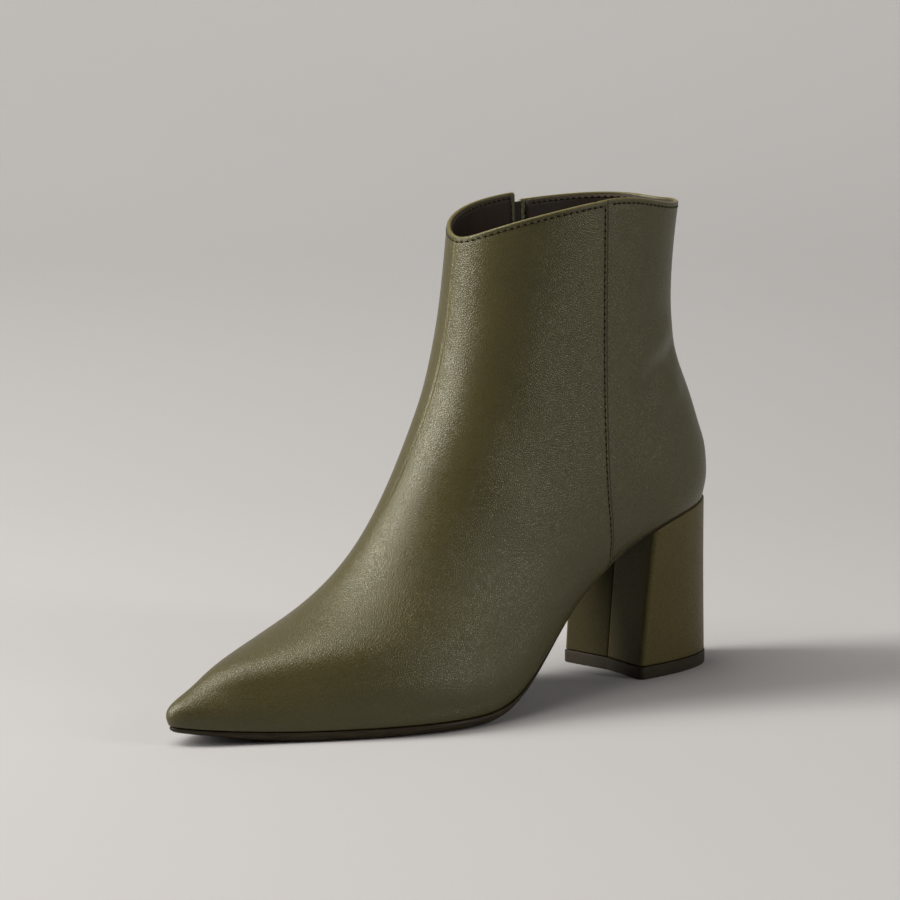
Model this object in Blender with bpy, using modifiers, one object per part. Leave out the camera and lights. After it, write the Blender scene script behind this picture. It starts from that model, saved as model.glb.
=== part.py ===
"""Left ankle boot on a block heel, with a zip in a slit on its inner side.

The boot stands on z = 0 with its toe along +X and its outer side along +Y. Its shapes are worked out
in a frame that starts at the back of the heel, and an empty then brings the middle of the boot's box
over the origin. Lengths are metres.
"""
from math import pi

import bmesh
import bpy
import numpy as np
from mathutils import Matrix, Vector

# Driving dimensions of the boot
LENGTH = 0.2566
BALL_WIDTH = 0.0780
HEEL_HEIGHT = 0.0700
SHAFT_HEIGHT = 0.1202
FRONT_HEIGHT = 0.1706
COLLAR_CROWN = (0.0100, 0.0128)
COLLAR_STEP = 0.0032
COLLAR_DIP = 0.0030
COLLAR_EASE = 0.25
TOE_SPRING = 0.0037
GAP = 0.0003

# Leather wall of the upper, and the front panel's edge where it laps over the rear quarter
WALL = 0.0018
LAP = 0.0009
LAP_FADE = 0.030
LAP_EDGE = 0.0004

# Outsole and insole. The thickness and the edge change over spans given as percent of LENGTH.
TOE_SOLE = 0.0020
FORE_SOLE = 0.0036
WAIST_SOLE = 0.0020
SEAT_SOLE = 0.0012
SEAT_TO_WAIST = (15.0, 25.0)
WAIST_TO_FORE = (42.0, 56.0)
FORE_TO_TOE = (84.0, 99.0)
SOLE_BEVEL = 0.0009
FORE_EDGE = 0.0007
TOE_EDGE = -0.0003
SEAT_EDGE = -0.0006
EDGE_TO_FORE = (30.0, 55.0)
EDGE_TO_TOE = (80.0, 99.0)
SOLE_END_TURN = 0.06
INSOLE_INSET = 0.0026
INSOLE_THICK = 0.0020
FEATHER = FORE_SOLE + GAP

# Heel block and its top piece
HEEL_BREAST = (0.0463, 0.0416)
HEEL_BACK = (-0.0035, -0.0003)
HEEL_HALF = (0.0234, 0.0256)
HEEL_SQUARENESS = 2.8
HEEL_ROUNDNESS = 2.3
HEEL_WAIST = 0.0004
HEEL_CORNER = 0.0025
HEEL_CORNER_SHARES = (0.0, 0.1, 0.35, 1.0)
HEEL_BACK_SHARE = 0.995
BREAST_DENT = 0.0010
BREAST_DENT_FADE = 4
TOP_PIECE = 0.0050
TOP_PIECE_EDGE = 0.0003

# Slit and zip on the inner side
SLIT_SETBACK = 0.0090
SLIT_WIDTH = 0.0030
SLIT_END_RING = 11
ZIP_WIDTH = SLIT_WIDTH - 2 * GAP
ZIP_PROUD = 0.0001
ZIP_START = 4.29
ZIP_TOP = 9.20
SLIDER_WIDTH = 0.0064
SLIDER_HEIGHT = 0.0082
SLIDER_RISE = 0.0032
SLIDER_PLATE = 0.0014
SLIDER_CLEAR = 0.0005
SLIDER_POST = 0.0020
SLIDER_ROUNDING = SLIDER_PLATE / 3
BAIL_WIDTH = 0.0016
BAIL_BAR = 0.0009
BAIL_ROUNDING = BAIL_BAR / 3
BAIL_REACH = 0.0050
PULL_BAR = 0.0010
PULL_WIDTH = 0.0052
PULL_LENGTH = 0.0170
PULL_WINDOW = 0.0043
AXIS_DROP = 0.0014

# Arch of the sole in percent, columns at, a share of LENGTH, and rise, of the heel's height over the forefoot.
ARCH = (
    (-2.0, 104.6),
    (8.0, 97.0),
    (17.0, 86.2),
    (26.0, 68.6),
    (35.0, 44.8),
    (43.5, 19.7),
    (51.5, 3.8),
    (58.0, 0.4),
    (64.0, 0.0),
    (72.0, 0.0),
)
SPRING_START = 80.0

# Left boot's curve in percent, columns at, a share of LENGTH, and shift, of BALL_WIDTH to the outer side.
SWING = (
    (-2.0, 0.0),
    (20.0, 0.0),
    (31.5, 1.9),
    (43.0, 4.5),
    (50.5, 5.1),
    (60.5, 3.1),
    (69.5, 0.0),
    (80.0, -3.8),
    (89.5, -6.9),
    (102.0, -9.0),
)

# Rings of the upper from the feather line to the collar, percent. back_x, front_x and seam_x are shares of
# LENGTH, back_rise of SHAFT_HEIGHT, front_rise of FRONT_HEIGHT, crown of COLLAR_CROWN, and half widths
# w1 to w7, from heel to front, of BALL_WIDTH. follow says how closely a ring keeps to the sole's curve.
RING_COLUMNS = ("back_x", "back_rise", "front_x", "front_rise", "crown", "follow", "seam_x",
                "w1", "w2", "w3", "w4", "w5", "w6", "w7")
RINGS = (
    (0.2, 0.0, 99.6, 0.0, 0.0, 100.0, 26.3, 25.6, 34.4, 32.7, 47.4, 49.1, 28.6, 11.4),
    (-0.1, 3.2, 100.0, 2.4, 0.0, 100.0, 26.4, 26.3, 36.5, 35.9, 48.7, 49.6, 28.8, 11.6),
    (-0.4, 6.8, 98.8, 5.1, 0.0, 95.0, 26.7, 26.3, 37.8, 37.8, 48.9, 49.0, 28.6, 11.6),
    (-0.3, 11.4, 95.3, 8.7, 0.0, 90.0, 27.1, 26.0, 38.5, 39.5, 47.4, 47.4, 29.2, 12.6),
    (0.3, 17.9, 89.6, 14.0, 0.0, 80.0, 27.7, 25.6, 38.5, 40.8, 44.8, 45.2, 31.0, 14.6),
    (1.9, 26.3, 78.5, 20.9, 0.0, 65.0, 28.3, 24.7, 37.6, 41.3, 42.6, 41.6, 31.4, 15.6),
    (4.0, 38.5, 67.2, 33.4, 0.0, 45.0, 28.7, 22.4, 35.0, 40.6, 41.7, 39.0, 30.2, 15.6),
    (6.6, 53.0, 58.1, 52.1, 9.5, 25.0, 28.8, 19.9, 32.7, 39.4, 40.8, 37.6, 28.9, 15.4),
    (7.6, 69.5, 51.3, 72.1, 29.8, 10.0, 28.8, 18.3, 31.4, 38.6, 40.4, 37.7, 29.0, 15.6),
    (7.2, 86.1, 48.6, 88.7, 65.5, 0.0, 28.9, 17.8, 31.2, 38.7, 41.0, 38.4, 29.0, 15.3),
    (6.2, 100.0, 47.6, 100.0, 100.0, 0.0, 29.0, 17.9, 31.4, 39.1, 41.6, 38.8, 29.2, 15.2),
)

# Fineness of the solids
RING_STEPS = 26
FRONT_STEPS = 18
REAR_STEPS = 10
SOLE_RIBS = 44
HEEL_RIBS = 18
HEEL_LAYERS = 5
ZIP_SECTIONS = 15
PULL_ARC_POINTS = 13
SHARP_ANGLE = pi / 5
NUDGE = 0.001

# Materials: colour, roughness, metallic
OLIVE_LEATHER = ((0.066, 0.056, 0.019), 0.42, 0.0)
DARK_SOLE = ((0.020, 0.015, 0.011), 0.55, 0.0)
LINING_LEATHER = ((0.026, 0.018, 0.013), 0.70, 0.0)
TOP_PIECE_RUBBER = ((0.016, 0.013, 0.010), 0.60, 0.0)
ZIP_METAL = ((0.180, 0.165, 0.140), 0.35, 1.0)

WIDTH_STATIONS = np.arange(1, 8)
SINE_FIT = np.sin(np.outer(WIDTH_STATIONS, WIDTH_STATIONS) * pi / 8) / 4


def spline(knots, rows, at):
    """Natural cubic curve through rows, one row for each knot."""
    knots = np.asarray(knots, float)
    rows = np.asarray(rows, float)
    step = np.diff(knots)
    system = np.eye(len(knots))
    bend = np.zeros(rows.shape)
    for i in range(1, len(knots) - 1):
        system[i, i - 1:i + 2] = step[i - 1], 2 * (step[i - 1] + step[i]), step[i]
        bend[i] = 6 * ((rows[i + 1] - rows[i]) / step[i] - (rows[i] - rows[i - 1]) / step[i - 1])
    bend = np.linalg.solve(system, bend)
    at = np.asarray(at, float)
    i = np.clip(np.searchsorted(knots, at, side="right") - 1, 0, len(step) - 1)
    shape = at.shape + (1,) * (rows.ndim - 1)
    width = step[i].reshape(shape)
    after = ((at - knots[i]) / step[i]).reshape(shape)
    before = 1 - after
    curve = (before**3 - before) * bend[i] + (after**3 - after) * bend[i + 1]
    return before * rows[i] + after * rows[i + 1] + curve * width**2 / 6


def smooth(start, end, x):
    """Soft step from 0 at start to 1 at end."""
    s = np.clip((x - start) / (end - start), 0, 1)
    return s * s * (3 - 2 * s)


def along_span(span, x):
    """Soft step over a span that is given as percent of LENGTH."""
    start, end = span
    return smooth(start, end, 100 * x / LENGTH)


def table_curve(table, x):
    """Value of a two column table at a length along the boot, as a fraction."""
    knots, values = np.array(table).T
    share = np.clip(100 * np.asarray(x, float) / LENGTH, knots[0], knots[-1])
    return spline(knots, values, share) / 100


def sole_line(x):
    """Height of the feather line, where upper and sole meet."""
    arch = np.maximum(table_curve(ARCH, x), 0)
    spring = np.maximum(0, (100 * x / LENGTH - SPRING_START) / (100 - SPRING_START)) ** 2
    return FEATHER + (HEEL_HEIGHT - FEATHER) * arch + TOE_SPRING * spring


def sole_thickness(x):
    """The outsole thins from the forefoot to the waist, again to the heel seat, and to the toe's tip."""
    waist = SEAT_SOLE + (WAIST_SOLE - SEAT_SOLE) * along_span(SEAT_TO_WAIST, x)
    fore = waist + (FORE_SOLE - WAIST_SOLE) * along_span(WAIST_TO_FORE, x)
    return fore + (TOE_SOLE - FORE_SOLE) * along_span(FORE_TO_TOE, x)


def sole_underside(x):
    return np.maximum(0, sole_line(x) - GAP - sole_thickness(x))


def ring_at(t):
    """Columns of the ring table at level t, 0 at the feather line."""
    rows = spline(np.arange(len(RINGS)), np.array(RINGS) / 100, t)
    return dict(zip(RING_COLUMNS, np.moveaxis(rows, -1, 0)))


def turn_at(x, ring):
    """Angle from the heel's back at which a ring reaches length x."""
    back = LENGTH * ring["back_x"]
    return np.arccos(1 - 2 * (x - back) / (LENGTH * ring["front_x"] - back))


def slit_x(ring):
    return LENGTH * ring["seam_x"] - SLIT_SETBACK


def skin(angle, t):
    """Outside of the upper. Angle 0 is the heel's back, pi the front, negative the inner side."""
    angle, t = np.broadcast_arrays(np.asarray(angle, float), np.asarray(t, float))
    ring = ring_at(t)
    turn = np.abs(angle)
    u = (1 - np.cos(turn)) / 2
    back = LENGTH * ring["back_x"]
    front = LENGTH * ring["front_x"]
    x = back + (front - back) * u
    widths = np.stack([ring[f"w{k}"] for k in WIDTH_STATIONS], -1)
    waves = np.sin(WIDTH_STATIONS * turn[..., None])
    half = BALL_WIDTH * np.sum(widths @ SINE_FIT * waves, -1)
    y = np.sign(angle) * half + ring["follow"] * BALL_WIDTH * table_curve(SWING, x)
    chord = sole_line(back) * (1 - u) + sole_line(front) * u
    z = ring["follow"] * sole_line(x) + (1 - ring["follow"]) * chord
    z = z + SHAFT_HEIGHT * ring["back_rise"] * (1 - u) + FRONT_HEIGHT * ring["front_rise"] * u
    crown = np.where(angle < 0, *COLLAR_CROWN) * ring["crown"]
    z = z + crown * (np.hypot(np.sin(turn), COLLAR_EASE) - COLLAR_EASE)
    to_slit = turn / turn_at(slit_x(ring) - (SLIT_WIDTH - GAP) / 2, ring)
    to_seam = turn / turn_at(LENGTH * ring["seam_x"], ring)
    step = np.where((angle < 0) & (to_slit < 1), COLLAR_STEP * np.sin(to_slit * pi / 2) ** 2, 0)
    dip = np.where((angle > 0) & (to_seam < 1), COLLAR_DIP * np.sin(to_seam * pi) ** 2, 0)
    z = z - ring["crown"] * (step + dip)
    return np.stack([x, y, z], -1)


def outward(angle, t):
    """Unit normal of the upper's outside."""
    along = skin(np.add(angle, NUDGE), t) - skin(np.subtract(angle, NUDGE), t)
    up = skin(angle, np.add(t, NUDGE)) - skin(angle, np.subtract(t, NUDGE))
    normal = np.cross(up, along)
    return normal / np.linalg.norm(normal, axis=-1, keepdims=True)


def upper_columns(t):
    """Angles of a ring's points from the slit's front edge round the toe and heel to its rear edge."""
    ring = ring_at(t)
    seam = LENGTH * ring["seam_x"]
    slit = slit_x(ring)
    inner_front = np.linspace(-turn_at(slit + SLIT_WIDTH / 2, ring), -pi, FRONT_STEPS + 1)
    outer_front = np.linspace(pi, turn_at(seam + LAP_EDGE / 2, ring), FRONT_STEPS + 1)[1:]
    outer_rear = np.linspace(turn_at(seam - LAP_EDGE / 2, ring), 0, REAR_STEPS + 1)
    inner_rear = np.linspace(0, -turn_at(slit - SLIT_WIDTH / 2, ring), REAR_STEPS + 1)[1:]
    return np.concatenate([inner_front, outer_front, outer_rear, inner_rear])


def make_material(name, finish):
    colour, roughness, metallic = finish
    material = bpy.data.materials.new(name)
    material.use_nodes = True
    shader = material.node_tree.nodes["Principled BSDF"]
    shader.inputs["Base Color"].default_value = (*colour, 1)
    shader.inputs["Roughness"].default_value = roughness
    shader.inputs["Metallic"].default_value = metallic
    return material


def make_object(name, form, finish, collection):
    """Turn a bmesh into a smooth shaded object with a material of its own."""
    bmesh.ops.recalc_face_normals(form, faces=form.faces)
    mesh = bpy.data.meshes.new(name)
    form.to_mesh(mesh)
    form.free()
    mesh.shade_smooth()
    mesh.set_sharp_from_angle(angle=SHARP_ANGLE)
    mesh.materials.append(make_material(name, finish))
    made = bpy.data.objects.new(name, mesh)
    collection.objects.link(made)
    return made


def make_upper(collection):
    """Open inside surface of the upper, given its wall by Solidify, thicker along the lapped seam."""
    levels = np.linspace(0, len(RINGS) - 1, RING_STEPS + 1)
    form = bmesh.new()
    rings = []
    lap_shares = []
    for t in levels:
        angles = upper_columns(t)
        outside = skin(angles, t)
        inside = outside - WALL * outward(angles, t)
        rings.append([form.verts.new(p) for p in inside])
        past_seam = outside[:, 0] - LENGTH * ring_at(t)["seam_x"]
        on_front = (angles > 0) & (past_seam > 0)
        lap_shares.extend(np.where(on_front, 1 - smooth(0, LAP_FADE, past_seam), 0))
    for low, (lower, higher) in enumerate(zip(rings, rings[1:])):
        last = len(lower)
        joined = last if low < SLIT_END_RING else last - 1
        for i in range(joined):
            j = (i + 1) % last
            form.faces.new((lower[i], lower[j], higher[j], higher[i]))
    upper = make_object("upper", form, OLIVE_LEATHER, collection)
    group = upper.vertex_groups.new(name="lap")
    for index, share in enumerate(lap_shares):
        group.add([index], (WALL + LAP * share) / (WALL + LAP), "REPLACE")
    wall = upper.modifiers.new("wall", "SOLIDIFY")
    wall.thickness = WALL + LAP
    wall.offset = 1
    wall.use_even_offset = True
    wall.use_quality_normals = True
    wall.vertex_group = group.name
    return upper


def ribbed_solid(name, layers, finish, collection):
    """Closed solid from layers of ribs, each rib a row of points from the outer to the inner side."""
    form = bmesh.new()
    points = [[[form.verts.new(p) for p in rib] for rib in layer] for layer in layers]
    bottom, top = points[0], points[-1]
    ribs = len(bottom)
    across = len(bottom[0])
    for cap in (bottom, top):
        for j in range(ribs - 1):
            for k in range(across - 1):
                form.faces.new((cap[j][k], cap[j][k + 1], cap[j + 1][k + 1], cap[j + 1][k]))
    for below, above in zip(points, points[1:]):
        for side in (0, across - 1):
            for j in range(ribs - 1):
                form.faces.new((below[j][side], below[j + 1][side], above[j + 1][side], above[j][side]))
        for end in (0, ribs - 1):
            for k in range(across - 1):
                form.faces.new((below[end][k], below[end][k + 1], above[end][k + 1], above[end][k]))
    return make_object(name, form, finish, collection)


def feather_ribs(offset):
    """Ribs across the feather line's outline, moved outwards by offset(x)."""
    turns = np.linspace(SOLE_END_TURN, pi - SOLE_END_TURN, SOLE_RIBS)
    sides = []
    for angles in (turns, -turns):
        outline = skin(angles, 0)
        along = skin(angles + NUDGE, 0) - skin(angles - NUDGE, 0)
        normal = np.stack([-along[:, 1], along[:, 0], np.zeros(len(turns))], -1)
        normal /= np.linalg.norm(normal, axis=-1, keepdims=True)
        sides.append(outline + offset(outline[:, 0])[:, None] * normal)
    outer, inner = sides
    return np.stack([outer, (outer + inner) / 2, inner], 1)


def at_height(ribs, height):
    """Ribs with z set by height(x)."""
    placed = ribs.copy()
    placed[..., 2] = height(ribs[..., 0])
    return placed


def make_outsole(collection):
    """Thin plate under the whole foot, proud at the forefoot and tucked in at the heel seat."""
    def edge(x):
        fore = SEAT_EDGE + (FORE_EDGE - SEAT_EDGE) * along_span(EDGE_TO_FORE, x)
        return fore + (TOE_EDGE - FORE_EDGE) * along_span(EDGE_TO_TOE, x)

    def bevel(x):
        return SOLE_BEVEL * sole_thickness(x) / FORE_SOLE

    def top(x):
        return sole_line(x) - GAP

    full = feather_ribs(edge)
    under = feather_ribs(lambda x: edge(x) - bevel(x))
    layers = [
        at_height(under, sole_underside),
        at_height(full, lambda x: sole_underside(x) + bevel(x)),
        at_height(full, top),
    ]
    return ribbed_solid("outsole", layers, DARK_SOLE, collection)


def make_insole(collection):
    """Inner sole inside the upper's wall, on top of the outsole."""
    ribs = feather_ribs(lambda x: np.full_like(x, -INSOLE_INSET))
    layers = [
        at_height(ribs, sole_line),
        at_height(ribs, lambda x: sole_line(x) + INSOLE_THICK),
    ]
    return ribbed_solid("insole", layers, LINING_LEATHER, collection)


def heel_ribs(v, grow=0.0):
    """Ribs of the heel's outline, from its breast to its rounded back. v is 0 at the bottom, 1 at the seat."""
    breast = HEEL_BREAST[0] + (HEEL_BREAST[1] - HEEL_BREAST[0]) * v + grow
    back = HEEL_BACK[0] + (HEEL_BACK[1] - HEEL_BACK[0]) * v - grow
    half = HEEL_HALF[0] + (HEEL_HALF[1] - HEEL_HALF[0]) * v - HEEL_WAIST * np.sin(pi * v) + grow
    corner = HEEL_CORNER * np.array(HEEL_CORNER_SHARES) / (breast - back)
    sweep = np.sin(np.linspace(0, 1, HEEL_RIBS + 1)[1:] * pi / 2)
    depth = np.concatenate([corner, corner[-1] + (HEEL_BACK_SHARE - corner[-1]) * sweep])
    x = breast - (breast - back) * depth
    y = half * (1 - depth**HEEL_SQUARENESS) ** (1 / HEEL_ROUNDNESS)
    inside = np.clip(HEEL_CORNER - (breast - x), 0, None)
    y = y - HEEL_CORNER + np.sqrt(HEEL_CORNER**2 - inside**2)
    middle = x - BREAST_DENT * (1 - depth) ** BREAST_DENT_FADE
    zero = np.zeros_like(x)
    outer = np.stack([x, y, zero], -1)
    centre = np.stack([middle, zero, zero], -1)
    inner = np.stack([x, -y, zero], -1)
    return np.stack([outer, centre, inner], 1)


def make_heel_block(collection):
    """Leather covered block between the top piece and the sloping heel seat."""
    foot = TOP_PIECE + GAP
    layers = []
    for v in np.linspace(0, 1, HEEL_LAYERS):
        layers.append(at_height(heel_ribs(v), lambda x: foot + v * (sole_underside(x) - GAP - foot)))
    return ribbed_solid("heel_block", layers, OLIVE_LEATHER, collection)


def make_heel_top_piece(collection):
    """Flat wear layer under the heel block, with its edges eased."""
    layers = []
    for z, grow in ((0, 0), (TOP_PIECE_EDGE, TOP_PIECE_EDGE), (TOP_PIECE, TOP_PIECE_EDGE)):
        layers.append(at_height(heel_ribs(0, grow), lambda x: np.full_like(x, z)))
    return ribbed_solid("heel_top_piece", layers, TOP_PIECE_RUBBER, collection)


def make_zip_chain(collection):
    """Closed zip, a bar that fills the slit between its leather edges."""
    layers = []
    for t in np.linspace(ZIP_START, ZIP_TOP, ZIP_SECTIONS):
        ring = ring_at(t)
        edges = slit_x(ring) + ZIP_WIDTH * np.array([-0.5, 0.5])
        angles = -turn_at(edges, ring)
        outside = skin(angles, t)
        normal = outward(angles, t)
        layers.append(np.stack([outside + ZIP_PROUD * normal, outside + (ZIP_PROUD - WALL) * normal], 1))
    return ribbed_solid("zip_chain", layers, ZIP_METAL, collection)


def slider_frame():
    """Place of the slider at the zip's top: X along the boot, Y into it, Z up the slit."""
    def slit_angle(t):
        ring = ring_at(t)
        return -turn_at(slit_x(ring), ring)

    low, here, high = [skin(slit_angle(t), t) for t in (ZIP_TOP - NUDGE, ZIP_TOP, ZIP_TOP + NUDGE)]
    into = -Vector(outward(slit_angle(ZIP_TOP), ZIP_TOP))
    up = Vector(high - low).normalized()
    axes = Matrix((into.cross(up), into, up)).transposed()
    return Matrix.Translation(here) @ axes.to_4x4()


def add_box(form, low, high):
    """Box between two corners."""
    size = [b - a for a, b in zip(low, high)]
    middle = [(a + b) / 2 for a, b in zip(low, high)]
    place = Matrix.Translation(middle) @ Matrix.Diagonal((*size, 1))
    return bmesh.ops.create_cube(form, size=1, matrix=place)["verts"]


def box_object(name, low, high, rounding, finish, collection):
    """Box with its edges rounded by a Bevel of the given width."""
    form = bmesh.new()
    add_box(form, low, high)
    made = make_object(name, form, finish, collection)
    if rounding:
        edge = made.modifiers.new("rounding", "BEVEL")
        edge.width = rounding
        edge.segments = 2
    return made


def combine(target, other, operation):
    """Boolean on the target with a cutter that isn't a part itself."""
    other.hide_render = True
    other.display_type = "WIRE"
    boolean = target.modifiers.new(other.name, "BOOLEAN")
    boolean.operation = operation
    boolean.object = other


def make_zip_slider(collection, cutters):
    """Two plates that hold the chain, the post between them, and the bail that carries the pull."""
    bottom = SLIDER_RISE - SLIDER_HEIGHT
    half = SLIDER_WIDTH / 2
    outer_face = -SLIDER_CLEAR - SLIDER_PLATE
    inner_face = WALL + SLIDER_CLEAR
    slider = box_object("zip_slider", (-half, outer_face, bottom), (half, -SLIDER_CLEAR, SLIDER_RISE),
                        SLIDER_ROUNDING, ZIP_METAL, collection)
    back = box_object("slider_back_plate", (-half, inner_face, bottom),
                      (half, inner_face + SLIDER_PLATE, SLIDER_RISE), SLIDER_ROUNDING, ZIP_METAL, cutters)
    post = box_object("slider_post", (-SLIDER_POST / 2, outer_face + SLIDER_PLATE / 2, GAP),
                      (SLIDER_POST / 2, inner_face + SLIDER_PLATE / 2, SLIDER_RISE - GAP), 0,
                      ZIP_METAL, cutters)
    bail_out = outer_face - PULL_BAR - 2 * GAP - BAIL_BAR
    bail = box_object("slider_bail", (-BAIL_WIDTH / 2, bail_out, -AXIS_DROP - BAIL_REACH / 2),
                      (BAIL_WIDTH / 2, outer_face + SLIDER_PLATE / 2, -AXIS_DROP + BAIL_REACH / 2),
                      BAIL_ROUNDING, ZIP_METAL, cutters)
    eye_half = BAIL_REACH / 2 - BAIL_BAR
    eye = box_object("slider_eye", (-BAIL_WIDTH, bail_out + BAIL_BAR, -AXIS_DROP - eye_half),
                     (BAIL_WIDTH, outer_face, -AXIS_DROP + eye_half), 0, ZIP_METAL, cutters)
    combine(bail, eye, "DIFFERENCE")
    for piece in (back, post, bail):
        combine(slider, piece, "UNION")
    return slider, (back, post, bail, eye)


def make_zip_pull(collection, cutters):
    """Flat tab hanging from the bail by its top bar. Its origin is on the bar's axis."""
    half = PULL_WIDTH / 2
    bar = PULL_BAR / 2
    form = bmesh.new()
    turns = np.linspace(pi, 2 * pi, PULL_ARC_POINTS)
    outline = [(half, bar), (-half, bar)]
    outline += [(half * np.cos(a), half * np.sin(a) - PULL_LENGTH + half) for a in turns]
    face = form.faces.new([form.verts.new((x, -bar, z)) for x, z in outline])
    grown = bmesh.ops.extrude_face_region(form, geom=[face])["geom"]
    moved = [v for v in grown if isinstance(v, bmesh.types.BMVert)]
    bmesh.ops.translate(form, verts=moved, vec=(0, PULL_BAR, 0))
    pull = make_object("zip_pull", form, ZIP_METAL, collection)
    window = box_object("pull_window", (PULL_BAR - half, -PULL_BAR, -PULL_WINDOW),
                        (half - PULL_BAR, PULL_BAR, -bar), 0, ZIP_METAL, cutters)
    combine(pull, window, "DIFFERENCE")
    return pull, window


def box_middle(parts):
    """Middle of the parts' common box, in plan."""
    graph = bpy.context.evaluated_depsgraph_get()
    corners = []
    for part in parts:
        seen = part.evaluated_get(graph)
        corners.extend(seen.matrix_world @ v.co for v in seen.data.vertices)
    spread = np.array(corners)
    return (spread.min(0) + spread.max(0)) / 2


def build_boot():
    for old in list(bpy.data.objects):
        bpy.data.objects.remove(old, do_unlink=True)
    boot = bpy.data.collections.new("ankle_boot")
    cutters = bpy.data.collections.new("cutters")
    for collection in (boot, cutters):
        bpy.context.scene.collection.children.link(collection)

    slider, slider_cutters = make_zip_slider(boot, cutters)
    pull, window = make_zip_pull(boot, cutters)
    parts = [
        make_upper(boot),
        make_outsole(boot),
        make_insole(boot),
        make_heel_block(boot),
        make_heel_top_piece(boot),
        make_zip_chain(boot),
        slider,
        pull,
    ]
    stand = bpy.data.objects.new("boot_stand", None)
    boot.objects.link(stand)
    zip_place = slider_frame()
    axis_depth = -SLIDER_CLEAR - SLIDER_PLATE - GAP - PULL_BAR / 2
    pull_place = zip_place @ Matrix.Translation((0, axis_depth, -AXIS_DROP))
    for piece in (slider, *slider_cutters):
        piece.matrix_world = zip_place
    for piece in (pull, window):
        piece.matrix_world = pull_place
    for piece in (*parts, *slider_cutters, window):
        piece.parent = stand
    bpy.context.view_layer.update()
    middle = box_middle(parts)
    stand.location = (-middle[0], -middle[1], 0)
    bpy.context.view_layer.update()


build_boot()
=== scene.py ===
"""Looks of a left ankle boot on a covered block heel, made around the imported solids.

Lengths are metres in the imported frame: toe along +X, outer side along +Y, floor at z = 0.
"""
from math import cos, pi, radians, sin

import bmesh
import bpy
import numpy as np
from mathutils import Matrix, Vector


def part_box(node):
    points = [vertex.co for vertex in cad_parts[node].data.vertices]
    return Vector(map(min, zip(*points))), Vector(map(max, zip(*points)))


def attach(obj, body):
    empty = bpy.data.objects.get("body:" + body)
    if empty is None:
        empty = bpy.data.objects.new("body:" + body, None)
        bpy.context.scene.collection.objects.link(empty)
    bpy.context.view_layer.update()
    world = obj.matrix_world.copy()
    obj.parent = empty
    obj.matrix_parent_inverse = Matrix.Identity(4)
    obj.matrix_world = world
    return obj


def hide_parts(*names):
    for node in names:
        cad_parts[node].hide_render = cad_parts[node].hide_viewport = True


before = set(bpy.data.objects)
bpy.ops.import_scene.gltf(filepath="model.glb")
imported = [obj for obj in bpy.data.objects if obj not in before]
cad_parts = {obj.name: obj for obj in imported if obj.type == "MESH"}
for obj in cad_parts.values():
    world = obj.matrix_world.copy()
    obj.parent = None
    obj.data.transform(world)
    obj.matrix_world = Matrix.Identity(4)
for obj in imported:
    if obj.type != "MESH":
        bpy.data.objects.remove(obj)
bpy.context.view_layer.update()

# The last. The boot is pulled over this form, so every piece takes its shape from it. Rings run round it
# from the feather line, where upper and sole meet, to the collar, and tables hold percent.
LENGTH = 0.2566
BALL_WIDTH = 0.0780
HEEL_HEIGHT = 0.0700
SHAFT_HEIGHT = 0.1202
FRONT_HEIGHT = 0.1706
COLLAR_CROWN = (0.0100, 0.0128)
COLLAR_STEP = 0.0032
COLLAR_DIP = 0.0041
COLLAR_BACK = 0.0012
COLLAR_BACK_FADE = 3
COLLAR_EASE = 0.25
TOE_SPRING = 0.0037
SPRING_START = 80.0
GAP = 0.0003
FORE_SOLE = 0.0036
FEATHER = FORE_SOLE + GAP
SLIT_SETBACK = 0.0090
SLIT_WIDTH = 0.0030
NUDGE = 0.001
HEEL_OVERHANG = 0.0038

# Columns: share of the length, rise of the arch
ARCH = (
    (-2.0, 104.6), (8.0, 97.0), (17.0, 86.2), (26.0, 68.6), (35.0, 44.8),
    (43.5, 19.7), (51.5, 3.8), (58.0, 0.4), (64.0, 0.0), (72.0, 0.0),
)
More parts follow.
